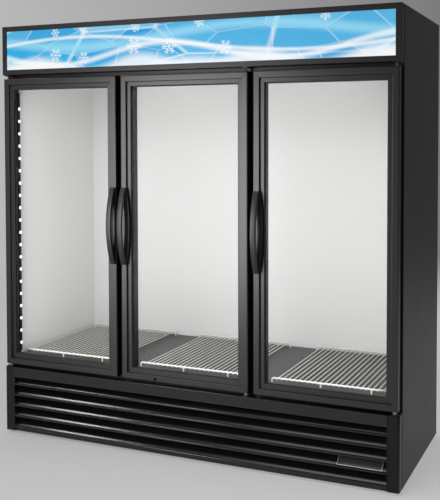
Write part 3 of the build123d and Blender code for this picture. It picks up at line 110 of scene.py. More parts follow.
class FreezerStage(bpy.types.PropertyGroup):
    """Camera, floor and light."""

    camera_place: bpy.props.FloatVectorProperty(
        name="Camera", description="Place of the camera", subtype="TRANSLATION", size=3,
        default=(1.7816, -3.6598, 1.4585),
    )
    camera_yaw: bpy.props.FloatProperty(
        name="Yaw", description="Turn of the camera to the left of the depth axis", subtype="ANGLE",
        default=math.radians(22.591),
    )
    camera_pitch: bpy.props.FloatProperty(
        name="Pitch", description="Tilt of the camera below the horizon", subtype="ANGLE",
        default=math.radians(2.0),
    )
    camera_lens: bpy.props.FloatProperty(
        name="Lens", description="Focal length for a 36 mm sensor along the long side", default=60.315
    )
    camera_shift: bpy.props.FloatVectorProperty(
        name="Shift", description="Shift of the lens, in shares of the long side", size=2,
        default=(-0.0927, -0.1663),
    )
    floor: colour_prop("Floor", "bcbcbc", "Studio floor")
    backdrop: colour_prop("Backdrop", "b8b8b8", "Studio background on the side of the first door")
    backdrop_dim: colour_prop("Dim backdrop", "7a7a7a", "Studio background on the side of the last door")


def finishes():
    """The finishes of the current scene."""
    return bpy.context.scene.freezer_finishes


def details():
    """The detail sizes of the current scene."""
    return bpy.context.scene.freezer_details


# ---- Materials ----------------------------------------------------------------------------


def feed(node, inputs):
    """Gives a node's inputs their values, or links them to an output or to a node's first output in use."""
    for name, value in inputs.items():
        if isinstance(value, bpy.types.Node):
            value = next(output for output in value.outputs if output.enabled)
        if isinstance(value, bpy.types.NodeSocket):
            node.id_data.links.new(value, node.inputs[name])
        else:
            node.inputs[name].default_value = value


def add(tree, kind, inputs=None, **settings):
    """Node of a kind, with its settings and what feeds its inputs."""
    made = tree.nodes.new("ShaderNode" + kind)
    for name, value in settings.items():
        setattr(made, name, value)
    feed(made, inputs or {})
    return made


def per_metre(millimetres):
    """Texture scale of a pattern that repeats about every so many millimetres."""
    return 1.0 / (millimetres * MM)


def scaled(colour, factor, lift=0.0):
    """Colour times a factor plus a lift, up to white."""
    return [min(1.0, c * factor + lift) for c in colour[:3]] + [1.0]


def blank(name):
    """New material, its tree, its Principled shader and the place of a point on the freezer at rest."""
    made = bpy.data.materials.new(name)
    made.use_nodes = True
    tree = made.node_tree
    return made, tree, tree.nodes["Principled BSDF"], add(tree, "TexCoord").outputs["Object"]


def bump(shader, height, depth_mm, edge_mm=0.0):
    """Feeds a height pattern into the shader's normal, over edges that catch the light as rounded ones do."""
    tree = shader.id_data
    made = add(tree, "Bump", {"Height": height, "Distance": depth_mm * MM})
    if edge_mm > 0:
        feed(made, {"Normal": add(tree, "Bevel", {"Radius": edge_mm * MM}, samples=6)})
    feed(shader, {"Normal": made})


def roughen(shader, pattern, low, high):
    """Makes the roughness follow a pattern between two levels."""
    level = add(shader.id_data, "MapRange", {"Value": pattern, "To Min": low, "To Max": high})
    feed(shader, {"Roughness": level})


def mottle(shader, place, patch_mm, detail, low, high):
    """Makes the roughness vary in soft patches of about so many millimetres."""
    pattern = {"Vector": place, "Scale": per_metre(patch_mm), "Detail": detail}
    roughen(shader, add(shader.id_data, "TexNoise", pattern), low, high)


def tint(shader, pattern, first, last, start=0.0, end=1.0):
    """Makes the colour follow a pattern from one tone to another, and returns it."""
    tone = add(shader.id_data, "ValToRGB", {"Fac": pattern})
    for stop, position, colour in zip(tone.color_ramp.elements, (start, end), (first, last)):
        stop.position = position
        stop.color = colour
    feed(shader, {"Base Color": tone})
    return tone


def apart(tree, one, other):
    """How far apart two values are."""
    more = add(tree, "Math", {0: one, 1: other}, operation="SUBTRACT")
    return add(tree, "Math", {0: more}, operation="ABSOLUTE")


def powder_coat(name, colour, roughness, gloss=0.5, peel_mm=0.02):
    """Polyester powder coat on folded steel: an even satin skin with orange peel and rounded folds."""
    made, tree, shader, place = blank(name)
    cloud = add(tree, "TexNoise", {"Vector": place, "Scale": per_metre(600), "Detail": 2.0})
    paler = scaled(colour, 1.2, 0.0008)
    tone = add(tree, "Mix", {"Factor": cloud, "A": colour, "B": paler}, data_type="RGBA")
    mottle(shader, place, 140, 4.0, roughness - 0.02, roughness + 0.03)
    # orange peel is 1 to 3 mm across, and is drawn at 6 mm so that it shows
    peel = add(tree, "TexNoise", {"Vector": place, "Scale": per_metre(6), "Detail": 1.0})
    bump(shader, peel, peel_mm, edge_mm=2.5)
    feed(shader, {"Base Color": tone, "IOR": 1.5, "Specular IOR Level": gloss})
    return made


def anodised_extrusion(name, colour):
    """Black anodised aluminium profile: satin, die lines along each bar, a dark joint at each mitre."""
    made, tree, shader, place = blank(name)
    low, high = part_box("door_1_frame")
    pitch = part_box("door_2_frame")[0].x - low.x
    split = add(tree, "SeparateXYZ", {"Vector": place})
    # distance in from the nearest upright edge and from the nearest level edge of any of the doors
    from_left = add(tree, "Math", {0: split.outputs["X"], 1: low.x}, operation="SUBTRACT")
    in_door = add(tree, "Math", {0: from_left, 1: pitch}, operation="FLOORED_MODULO")
    to_right = add(tree, "Math", {0: high.x - low.x, 1: in_door}, operation="SUBTRACT")
    side = add(tree, "Math", {0: in_door, 1: to_right}, operation="MINIMUM")
    up = add(tree, "Math", {0: split.outputs["Z"], 1: low.z}, operation="SUBTRACT")
    down = add(tree, "Math", {0: high.z, 1: split.outputs["Z"]}, operation="SUBTRACT")
    level = add(tree, "Math", {0: up, 1: down}, operation="MINIMUM")
    across = add(tree, "Math", {0: side, 1: level}, operation="MINIMUM")
    # die lines are under 1 mm apart, and are drawn at 3 mm so that they show
    lines = add(tree, "TexNoise", {"W": across, "Scale": per_metre(3), "Detail": 3.0}, noise_dimensions="1D")
    tone = tint(shader, lines, scaled(colour, 0.8), scaled(colour, 1.6), 0.3, 0.75)
    # the joint between two bars is a hairline, drawn in black over the tone and 1.2 mm wide so that it shows
    joint_reach = 0.85 * MM
    joint = add(tree, "Math", {0: apart(tree, side, level), 1: joint_reach}, operation="LESS_THAN")
    filled = add(tree, "Mix", {"Factor": joint, "A": tone, "B": (0, 0, 0, 1)}, data_type="RGBA")
    rough = add(tree, "MapRange", {"Value": lines, "To Min": 0.27, "To Max": 0.37})
    dull = add(tree, "Math", {0: rough, 1: joint}, operation="MAXIMUM")
    bump(shader, lines, 0.03, edge_mm=1.5)
    feed(shader, {"Base Color": filled, "Roughness": dull, "IOR": 1.6})
    return made


def moulded_abs(name, colour, grain_mm):
    """Injection-moulded plastic such as ABS: a spark-eroded grain, a little glossier in rubbed patches."""
    made, tree, shader, place = blank(name)
    grain = add(tree, "TexVoronoi", {"Vector": place, "Scale": per_metre(grain_mm)})
    bump(shader, grain, 0.05)
    mottle(shader, place, 60, 4.0, 0.36, 0.46)
    feed(shader, {"Base Color": colour, "IOR": 1.53})
    return made


def float_glass(name):
    """Clear float glass: a thin clean pane that mirrors more at a glancing angle."""
    made, tree, shader, place = blank(name)
    tree.nodes.remove(shader)
    facing = add(tree, "LayerWeight", {"Blend": 0.5}).outputs["Facing"]
    steep = add(tree, "Math", {0: facing, 1: 5.0}, operation="POWER")
    share = add(tree, "MapRange", {"Value": steep, "To Min": 0.001, "To Max": 0.9})
    clear = add(tree, "BsdfTransparent", {"Color": linear("fefefe")})
    mirror = add(tree, "BsdfGlossy", {"Color": (1, 1, 1, 1), "Roughness": 0.015})
    both = add(tree, "MixShader", {"Fac": share, 1: clear, 2: mirror})
    feed(tree.nodes["Material Output"], {"Surface": both})
    return made


def brushed_metal(name, hexa, roughness, along, grain_mm):
    """Brushed metal, bare or blackened: fine scratches along one direction, far longer than wide."""
    made, tree, shader, place = blank(name)
    longer = 40.0
    stretch = [1.0 if axis == along else longer for axis in (X, Y, Z)]
    grain = add(tree, "Mapping", {"Vector": place, "Scale": stretch})
    lines = add(tree, "TexNoise", {"Vector": grain, "Scale": per_metre(grain_mm * longer), "Detail": 4.0})
    roughen(shader, lines, roughness - 0.08, roughness + 0.1)
    bump(shader, lines, 0.02)
    feed(shader, {"Base Color": linear(hexa), "Metallic": 1.0})
    return made


def badge_metal(name, hexa, roughness):
    """Lacquered aluminium plate: fine brushing under a clear coat that keeps it pale in the shade."""
    made, tree, shader, place = blank(name)
    stretch = add(tree, "Mapping", {"Vector": place, "Scale": (1.0, 40.0, 40.0)})
    lines = add(tree, "TexNoise", {"Vector": stretch, "Scale": per_metre(24), "Detail": 4.0})
    roughen(shader, lines, roughness - 0.06, roughness + 0.08)
    feed(shader, {"Base Color": linear(hexa), "Metallic": 0.35})
    return made


def galvanised_sheet(name):
    """Hot-dip galvanised steel: grey zinc with a spangle of flat crystals about 14 mm across."""
    made, tree, shader, place = blank(name)
    crystals = add(tree, "TexVoronoi", {"Vector": place, "Scale": per_metre(14)}).outputs["Color"]
    tint(shader, crystals, linear("8b9093"), linear("b3b8ba"))
    roughen(shader, crystals, 0.34, 0.55)
    feed(shader, {"Metallic": 0.85})
    return made


def zinc_plate(name):
    """Zinc-plated steel: bright, bluish, with cloudy passivation."""
    made, tree, shader, place = blank(name)
    cloud = add(tree, "TexNoise", {"Vector": place, "Scale": per_metre(9), "Detail": 3.0})
    tint(shader, cloud, linear("a9b0b4"), linear("cfd2cf"))
    roughen(shader, cloud, 0.22, 0.38)
    feed(shader, {"Metallic": 1.0})
    return made


def hinge_finish(name):
    """Hinge bracket: black powder coat, with the riveted pin left in bright zinc."""
    made, tree, shader, place = blank(name)
    split = add(tree, "SeparateXYZ", {"Vector": place})
    flat = add(tree, "CombineXYZ", {"X": split.outputs["X"], "Y": split.outputs["Y"]})
    # distance to the nearest pin, in metres, which starts out well beyond the radius of a pin
    nearest, pin_radius = 1.0, 5.2 * MM
    for door in DOORS:
        low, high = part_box(f"{door}_hinge_bushes")
        axis = Vector(((low.x + high.x) / 2, (low.y + high.y) / 2, 0.0))
        away = add(tree, "VectorMath", {0: flat, 1: axis}, operation="DISTANCE")
        nearest = add(tree, "Math", {0: nearest, 1: away}, operation="MINIMUM")
    pin = add(tree, "Math", {0: nearest, 1: pin_radius}, operation="LESS_THAN")
    tone = add(tree, "Mix", {"Factor": pin, "A": finishes().trim, "B": linear("c3c6c8")}, data_type="RGBA")
    feed(shader, {"Base Color": tone, "Metallic": pin})
    mottle(shader, place, 9, 3.0, 0.28, 0.4)
    return made


def painted_liner(name, colour):
    """Pre-painted aluminium lining: satin white enamel with a faint stucco roll mark."""
    made, tree, shader, place = blank(name)
    roll = add(tree, "TexNoise", {"Vector": place, "Scale": per_metre(11), "Detail": 2.0})
    bump(shader, roll, 0.12)
    mottle(shader, place, 260, 4.0, 0.48, 0.6)
    feed(shader, {"Base Color": colour, "Specular IOR Level": 0.35})
    return made


def coated_wire(name, colour):
    """Epoxy powder on drawn steel wire: soft white, with a slightly uneven film."""
    made, tree, shader, place = blank(name)
    film = add(tree, "TexNoise", {"Vector": place, "Scale": per_metre(5), "Detail": 2.0})
    bump(shader, film, 0.08)
    feed(shader, {"Base Color": colour, "Roughness": 0.36})
    return made


def rubber_seal(name, hexa):
    """Extruded seal or spacer: matte, dark, with fine chalky streaks."""
    made, tree, shader, place = blank(name)
    streak = add(tree, "TexNoise", {"Vector": place, "Scale": per_metre(18), "Detail": 4.0})
    roughen(shader, streak, 0.5, 0.72)
    bump(shader, streak, 0.04)
    feed(shader, {"Base Color": linear(hexa)})
    return made


def led_phosphor(name):
    """Silicone dome over phosphor: a cool white point of light."""
    made, tree, shader, place = blank(name)
    glow = add(tree, "TexNoise", {"Vector": place, "Scale": per_metre(2), "Detail": 1.0})
    tone = tint(shader, glow, linear("f4f8ff"), linear("ffffff"))
    feed(shader, {"Emission Color": tone, "Emission Strength": 1.6})
    return made


def clear_lens(name):
    """Smoked polycarbonate cover over the LED board: dark between the LEDs."""
    made, tree, shader, place = blank(name)
    mottle(shader, place, 30, 3.0, 0.4, 0.5)
    feed(shader, {"Base Color": linear("101112"), "IOR": 1.58})
    return made


def wave_height(tree, along, wave, phase, swing, middle):
    """Height of a wave that runs along the sign, as a share of the sign's height."""
    turn = add(tree, "Math", {0: along, 1: 2 * math.pi / wave, 2: phase}, operation="MULTIPLY_ADD")
    sine = add(tree, "Math", {0: turn}, operation="SINE")
    return add(tree, "Math", {0: sine, 1: swing, 2: middle}, operation="MULTIPLY_ADD")


def sign_print(name):
    """Backlit acrylic with a printed design of cold air: ice facets, blown snow, mist and snow crystals."""
    made, tree, shader, place = blank(name)
    chosen = finishes()
    white = linear("ffffff")
    low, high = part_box("sign_panel")
    split = add(tree, "SeparateXYZ", {"Vector": place})
    along, height = split.outputs["X"], split.outputs["Z"]
    flat = add(tree, "CombineXYZ", {"X": along, "Y": height})
    rise = add(tree, "MapRange", {"Value": height, "From Min": low.z, "From Max": high.z})
    # each layer of print: its cover, from none to full, and its ink
    layers = []
    # slanted facets, three times as long as they are high, as in cracked clear ice
    for size, lean, pale, strength in ((210, 0.5, 0.5, 0.85), (80, -0.35, 0.35, 0.5)):
        slant = add(tree, "Mapping", {"Vector": flat, "Rotation": (0, 0, lean), "Scale": (0.35, 1.0, 1.0)})
        cells = {"Vector": slant, "Scale": per_metre(size)}
        facet = add(tree, "TexVoronoi", cells, voronoi_dimensions="2D")
        chance = add(tree, "SeparateColor", {"Color": facet.outputs["Color"]}).outputs
        light = add(tree, "MapRange", {"Value": chance["Red"], "From Min": 0.35, "To Max": pale})
        deep = add(tree, "MapRange", {"Value": chance["Green"], "From Min": 0.5, "From Max": 0.9,
                                      "To Max": strength})
        # the cracks between the facets catch the light as fine white lines
        crack = add(tree, "TexVoronoi", cells, voronoi_dimensions="2D", feature="DISTANCE_TO_EDGE")
        glint = add(tree, "MapRange", {"Value": crack, "From Max": 0.03, "To Min": strength * 0.7,
                                       "To Max": 0.0})
        layers += [(light, chosen.sign_pale), (deep, chosen.sign_deep), (glint, white)]
    # banks of blown snow along the foot of the sign: wavelength in metres, phase, swing and level
    for bank in ((0.92, 1.2, 0.17, 0.16), (0.57, 3.9, 0.13, 0.30)):
        under = add(tree, "Math", {0: wave_height(tree, along, *bank), 1: rise}, operation="SUBTRACT")
        cover = add(tree, "MapRange", {"Value": under, "From Max": 0.22, "To Max": 0.75},
                    interpolation_type="SMOOTHSTEP")
        layers.append((cover, white))
    # ribbons of mist: wavelength in metres, phase, swing, middle and half width as shares of the height
    ribbons = (
        (1.70, 0.4, 0.16, 0.66, 0.17, chosen.sign_pale),
        (1.15, 2.1, 0.20, 0.34, 0.10, white),
        (2.30, 3.1, 0.22, 0.50, 0.06, white),
    )
    for *line, width, ink in ribbons:
        off = apart(tree, rise, wave_height(tree, along, *line))
        cover = add(tree, "MapRange", {"Value": off, "From Max": width, "To Min": 0.7, "To Max": 0.0},
                    interpolation_type="SMOOTHSTEP")
        layers.append((cover, ink))
    layers.append((snow_crystals(tree, flat), white))
    # printed border: a pale line inside the upper and the lower edge
    border = add(tree, "Math", {0: apart(tree, rise, 0.5), 1: 0.455, 2: 0.012}, operation="COMPARE")
    layers.append((add(tree, "Math", {0: border, 1: 0.75}, operation="MULTIPLY"), white))
    design = add(tree, "Mix", {"Factor": rise, "A": chosen.sign_mid, "B": chosen.sign_deep}, data_type="RGBA")
    for cover, ink in layers:
        design = add(tree, "Mix", {"Factor": cover, "A": design, "B": ink}, data_type="RGBA")
    # the lit sheet throws back little of the light that falls on it
    sheet = add(tree, "Mix", {"Factor": 0.9, "A": design, "B": (0, 0, 0, 1)}, data_type="RGBA")
    feed(shader, {"Base Color": sheet, "Emission Color": design, "Emission Strength": 0.88,
                  "Roughness": 0.3, "IOR": 1.49, "Specular IOR Level": 0.3})
    return made


def snow_crystals(tree, flat):
    """Share of white for six-armed crystals scattered over the sign, on points of (metres, metres)."""
    spread_mm, arm, ink, twig_share = 150, 0.036, 0.0022, 0.28
    cells = add(tree, "TexVoronoi", {"Vector": flat, "Scale": per_metre(spread_mm), "Randomness": 0.7},
                voronoi_dimensions="2D")
    here = add(tree, "VectorMath", {0: flat, 1: cells.outputs["Position"]}, operation="SUBTRACT")
    split = add(tree, "SeparateXYZ", {"Vector": here}).outputs
    away = add(tree, "VectorMath", {0: here}, operation="LENGTH")
    chance = add(tree, "SeparateColor", {"Color": cells.outputs["Color"]}).outputs
    # the sixth of a turn is folded onto one half arm: u along the arm, v off it
    angle = add(tree, "Math", {0: split["Y"], 1: split["X"]}, operation="ARCTAN2")
    leaned = add(tree, "Math", {0: angle, 1: chance["Blue"]}, operation="ADD")
    fold = add(tree, "Math", {0: leaned, 1: math.pi / 6}, operation="PINGPONG")
    cosine = add(tree, "Math", {0: fold}, operation="COSINE")
    sine = add(tree, "Math", {0: fold}, operation="SINE")
    size = add(tree, "Math", {0: chance["Green"], 1: 0.7, 2: 0.6}, operation="MULTIPLY_ADD")
    reach = add(tree, "Math", {0: away, 1: size}, operation="DIVIDE")
    u = add(tree, "Math", {0: reach, 1: cosine}, operation="MULTIPLY")
    v = add(tree, "Math", {0: reach, 1: sine}, operation="MULTIPLY")
    share = add(tree, "MapRange", {"Value": v, "From Min": ink * 0.5, "From Max": ink, "To Min": 1.0,
                                   "To Max": 0.0})
    for root in (0.4, 0.7):
        # twigs leave the arm at 60 degrees
        run = add(tree, "Math", {0: u, 1: arm * root}, operation="SUBTRACT")
        lift = add(tree, "Math", {0: run, 1: math.tan(math.radians(60))}, operation="MULTIPLY")
        near = apart(tree, lift, v)
        twig = add(tree, "MapRange", {"Value": near, "From Min": ink, "From Max": ink * 2, "To Min": 1.0,
                                      "To Max": 0.0})
        short = add(tree, "Math", {0: v, 1: arm * twig_share}, operation="LESS_THAN")
        kept = add(tree, "Math", {0: twig, 1: short}, operation="MULTIPLY")
        share = add(tree, "Math", {0: share, 1: kept}, operation="MAXIMUM")
    inside = add(tree, "Math", {0: reach, 1: arm}, operation="LESS_THAN")
    drawn = add(tree, "Math", {0: chance["Red"], 1: 0.45}, operation="GREATER_THAN")
    both = add(tree, "Math", {0: inside, 1: drawn}, operation="MULTIPLY")
    bright = add(tree, "Math", {0: share, 1: 0.85}, operation="MULTIPLY")
    return add(tree, "Math", {0: bright, 1: both}, operation="MULTIPLY")


def fin_stock(name):
    """Aluminium fins drawn as pale stripes with painted shade between them, 3.9 mm apart so that they show,
    where real ones are 2 mm apart.
    """
    made, tree, shader, place = blank(name)
    fin_mm = 2
    # the bands of a wave texture lie 2 pi / 20 of a unit apart
    scale = per_metre(fin_mm) / (2 * math.pi)
    fins = add(tree, "TexWave", {"Vector": place, "Scale": scale}, bands_direction="X").outputs["Fac"]
    # the pale stripes are the fin edges; the dark stripes are painted shade in the gaps between the fins
    tint(shader, fins, linear("55595c"), linear("c6cacc"))
    bump(shader, fins, 0.5)
    feed(shader, {"Metallic": 0.9, "Roughness": 0.42})
    return made


def enamel(name, hexa, roughness):
    """Dipped enamel over cast or pressed steel: glossy, paler and duller where dust lies."""
    made, tree, shader, place = blank(name)
    dust = add(tree, "TexNoise", {"Vector": place, "Scale": per_metre(35), "Detail": 5.0})
    tint(shader, dust, linear(hexa), scaled(linear(hexa), 1.5, 0.01), 0.35)
    roughen(shader, dust, roughness, roughness + 0.2)
    return made


def copper_tube(name):
    """Drawn copper, dulled to brown in patches."""
    made, tree, shader, place = blank(name)
    age = add(tree, "TexNoise", {"Vector": place, "Scale": per_metre(28), "Detail": 4.0})
    tint(shader, age, linear("8a4f33"), linear("d58a5f"))
    roughen(shader, age, 0.45, 0.25)
    feed(shader, {"Metallic": 1.0})
    return made


def foam(name):
    """Cut polyurethane foam: pale yellow and matte, its cells cut open."""
    made, tree, shader, place = blank(name)
    cells = add(tree, "TexVoronoi", {"Vector": place, "Scale": per_metre(3)})
    bump(shader, cells, 0.6)
    feed(shader, {"Base Color": linear("e3d9b8"), "Roughness": 0.9})
    return made


# ---- Forms: each is a list of points and a list of faces -----------------------------------


def joined(forms):
    """One form from several."""
    points, faces = [], []
    for more_points, more_faces in forms:
        start = len(points)
        points += more_points
        faces += [[index + start for index in face] for face in more_faces]
    return points, faces


def skin(loops, ring=False):
    """Faces between loops of equal length, closed at both ends or round in a ring."""
    count = len(loops[0])
    points = [Vector(point) for loop in loops for point in loop]
    faces = []
    for step in range(len(loops) if ring else len(loops) - 1):
        here, there = step * count, (step + 1) % len(loops) * count
        for index in range(count):
            after = (index + 1) % count
            faces.append([here + index, here + after, there + after, there + index])
    if not ring:
        faces.append(list(range(count))[::-1])
        faces.append([len(points) - count + index for index in range(count)])
    return points, faces


def circle(radius, sides):
    """(u, v) of every corner of a regular polygon."""
    turns = [2 * math.pi * side / sides for side in range(sides)]
    return [(radius * math.cos(a), radius * math.sin(a)) for a in turns]


def turned(profile, centre, axis, sides):
    """Profile of (radius, height) turned about an axis through a centre."""
    up = Vector(axis).normalized()
    right = up.orthogonal().normalized()
    front = up.cross(right)
    return skin([
        [Vector(centre) + up * height + right * u + front * v for u, v in circle(radius, sides)]
        for radius, height in profile
    ])


def swept(route, radius, sides):
    """Round bar along a route of points."""
    loops = []
    side = None
    for index, point in enumerate(route):
        before = route[max(index - 1, 0)]
        after = route[min(index + 1, len(route) - 1)]
        along = (after - before).normalized()
        side = along.orthogonal() if side is None else side - along * side.dot(along)
        side.normalize()
        other = along.cross(side)
        loops.append([point + side * u + other * v for u, v in circle(radius, sides)])
    return skin(loops)


def rounded_route(corners, radius, steps=5):
    """Route through corners, each rounded by an arc."""
    corners = [Vector(corner) for corner in corners]
    route = [corners[0]]
    for before, corner, after in zip(corners, corners[1:], corners[2:]):
        back = (before - corner).normalized()
        ahead = (after - corner).normalized()
        for step in range(steps + 1):
            share = step / steps
            start = corner + back * radius * (1 - share)
            end = corner + ahead * radius * share
            route.append(start * (1 - share) + end * share)
    route.append(corners[-1])
    return route


def rounded_box(low_u, high_u, low_v, high_v, radii, steps=4):
    """Closed loop of (u, v) round a rectangle whose corners start at low, low and have these radii."""
    corners = ((low_u, low_v, 180), (high_u, low_v, 270), (high_u, high_v, 0), (low_u, high_v, 90))
    loop = []
    for (u, v, start), radius in zip(corners, radii):
        centre_u = u + radius if u == low_u else u - radius
        centre_v = v + radius if v == low_v else v - radius
        for step in range(steps + 1):
            angle = math.radians(start + 90 * step / steps)
            loop.append((centre_u + radius * math.cos(angle), centre_v + radius * math.sin(angle)))
    return loop


def ring_of(section, low, high):
    """Section of (y, inset) carried round a rectangle in the XZ plane, with mitred corners."""
    loops = []
    for y, inset in section:
        left, right = low.x + inset, high.x - inset
        bottom, top = low.z + inset, high.z - inset
        loops.append([(left, y, bottom), (right, y, bottom), (right, y, top), (left, y, top)])
    return skin(loops, ring=True)


def arc_depth(z, half, middle, end):
    """Depth at height z of an arc that has one depth in the middle and another at both ends."""
    rise = middle - end
    radius = (half**2 + rise**2) / (2 * rise)
    return math.sqrt(max(radius**2 - z**2, 0.0)) - radius + middle


# ---- Pieces and nodes ----------------------------------------------------------------------


def placed(name, data):
    """New object in the scene."""
    made = bpy.data.objects.new(name, data)
    bpy.context.scene.collection.objects.link(made)
    return made


def piece(name, form, body, finish, sharp=32.0):
    """Mesh object from a form, riding on a body, smooth up to the sharp angle."""
    points, faces = form
    mesh = bpy.data.meshes.new(name)
    mesh.from_pydata([tuple(point) for point in points], [], faces)
    tidy = bmesh.new()
    tidy.from_mesh(mesh)
    bmesh.ops.recalc_face_normals(tidy, faces=tidy.faces)
    tidy.to_mesh(mesh)
    tidy.free()
    mesh.materials.append(finish)
    mesh.shade_smooth()
    mesh.set_sharp_from_angle(angle=math.radians(sharp))
    made = placed(name, mesh)
    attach(made, body)
    return made


def soften(thing, width):
    """Rounds the sharp edges of a piece or CAD node, as a fold or a deburred edge is."""
    weld = thing.modifiers.new("weld", "WELD")
    weld.merge_threshold = 0.01 * MM
    bevel = thing.modifiers.new("edge", "BEVEL")
    bevel.width = width
    bevel.segments = 2
    bevel.limit_method = "ANGLE"
    bevel.angle_limit = math.radians(35)
    bevel.harden_normals = True


def coat(finish, *names, edge=0.0):
    """Gives CAD nodes a finish and, where it is set, softened edges."""
    for name in names:
        node = NODES[name]
        node.data.materials.clear()
        node.data.materials.append(finish)
        if edge > 0:
            soften(node, edge)


def solid_boxes(name):
    """(lowest, highest) corner of every separate solid of a CAD node."""
    solids = bmesh.new()
    solids.from_mesh(NODES[name].data)
    bmesh.ops.remove_doubles(solids, verts=solids.verts, dist=0.001 * MM)
    left = set(solids.verts)
    boxes = []
    while left:
        group, edge = set(), [left.pop()]
        while edge:
            vert = edge.pop()
            group.add(vert)
            for link in vert.link_edges:
                other = link.other_vert(vert)
                if other in left:
                    left.discard(other)
                    edge.append(other)
        lows = [min(vert.co[axis] for vert in group) for axis in range(3)]
        highs = [max(vert.co[axis] for vert in group) for axis in range(3)]
        boxes.append((Vector(lows), Vector(highs)))
    solids.free()
    return sorted(boxes, key=lambda box: tuple(round(c, 4) for c in box[0]))


# ---- Doors ---------------------------------------------------------------------------------


def handle_forms(door):
    """Bow grip and lens-shaped back plate of a door handle."""
    low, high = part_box(f"{door}_handle")
    width, back_plate, end_reach, wall, gap_length = 26 * MM, 3 * MM, 9 * MM, 11 * MM, 316 * MM
    half = (high.z - low.z) / 2
    middle_z = (high.z + low.z) / 2
    face_y = high.y
    reach = face_y - low.y
    bulge = high.x - low.x
    frame_low, frame_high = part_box(f"{door}_frame")
    leftward = frame_high.x - high.x < low.x - frame_low.x
    edge_x = high.x if leftward else low.x
    way = -1 if leftward else 1
    steps = 56
    end_round = 1.4 * MM
    heights = [-half, -half + end_round]
    heights += [-half + end_round + (2 * half - 2 * end_round) * step / steps for step in range(1, steps)]
    heights += [half - end_round, half]
    loops = []
    for z in heights:
        shrink = end_round if abs(abs(z) - half) < 1e-9 else 0.0
        outer = arc_depth(z, half, reach, end_reach)
        inner = back_plate
        if abs(z) < gap_length / 2:
            inner = max(inner, arc_depth(z, gap_length / 2, reach - wall, back_plate))
        radius = min(details().grip_round, (outer - inner) / 2 - 0.2 * MM) - shrink / 2
        radii = (1.5 * MM, 1.5 * MM, radius, radius)
        section = rounded_box(shrink, width - shrink, inner, outer - shrink, radii)
        loops.append([(edge_x + way * u, face_y - v, middle_z + z) for u, v in section])
    window_half, rim, window_width = 148 * MM, 1.5 * MM, 18 * MM
    outer = plate_outline(0.0, half, bulge, width)
    window = plate_outline(rim, window_half, window_width, rim + 1.0 * MM)
    rings = []
    for outline, depth in ((outer, 0), (outer, back_plate), (window, back_plate), (window, 0)):
        rings.append([(edge_x + way * u, face_y - depth, middle_z + z) for u, z in outline])
    return skin(loops), skin(rings, ring=True)


def plate_outline(straight, half, bulge, end):
    """Closed (u, z) outline with one straight side and one bowed side."""
    steps = 24
    heights = [-half + 2 * half * step / steps for step in range(steps + 1)]
    bowed = [(arc_depth(z, half, bulge, end), z) for z in heights]
    return bowed + [(straight, z) for z in reversed(heights)]


def make_handles():
    """Handles of all doors."""
    finish = moulded_abs("black_abs_handle", finishes().moulding, 1.6)
    for door in DOORS:
        grip, plate = handle_forms(door)
        made = piece(f"{door}_handle_grip", grip, door, finish, sharp=50.0)
        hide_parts(f"{door}_handle")
        back = piece(f"{door}_handle_back_plate", plate, door, finish)
        soften(back, 0.8 * MM)


def make_gaskets():
    """Bellows gasket of every door, with its push-in foot and magnet pocket."""
    seal = rubber_seal("pvc_gasket", "242526")
    for door in DOORS:
        low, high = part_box(f"{door}_gasket")
        frame_low, frame_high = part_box(f"{door}_frame")
        back = frame_high.y
        tip = high.y - back
        foot = 7.5
        middle = low.x - frame_low.x + foot * MM
        # half profile of (height over the frame, half width) in millimetres
        tall = tip / MM
        fold = tall / 3
        half = [(0.0, foot), (1.2, foot), (2.0, 4.2), (fold, 3.2), (fold * 1.6, 5.4), (fold * 2.1, 3.9)]
        half += [(tall - 2.2, 5.2), (tall - 0.6, 5.4), (tall, 4.6)]
        near = [(back + h * MM, middle - w * MM) for h, w in half]
        far = [(back + h * MM, middle + w * MM) for h, w in reversed(half)]
        form = ring_of(near + far, frame_low, frame_high)
        made = piece(f"{door}_bellows_gasket", form, door, seal, sharp=60.0)
        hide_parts(f"{door}_gasket")


def make_glazing_beads():
    """Thin black wedge seal between each frame and its front pane."""
    seal = rubber_seal("epdm_bead", "121314")
    frame_width = 48.5 * MM
    for door in DOORS:
        frame_low, frame_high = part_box(f"{door}_frame")
        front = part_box(f"{door}_glass")[0].y
        # profile of (height over the pane, reach from the inner edge of the frame) in millimetres
        wedge = [(0.0, -0.5), (0.0, 3.2), (0.5, 3.2), (2.4, 0.6), (2.4, -0.5)]
        section = [(front - h * MM, frame_width + reach * MM) for h, reach in wedge]
        piece(f"{door}_glazing_bead", ring_of(section, frame_low, frame_high), door, seal)


# ---- Interior ------------------------------------------------------------------------------


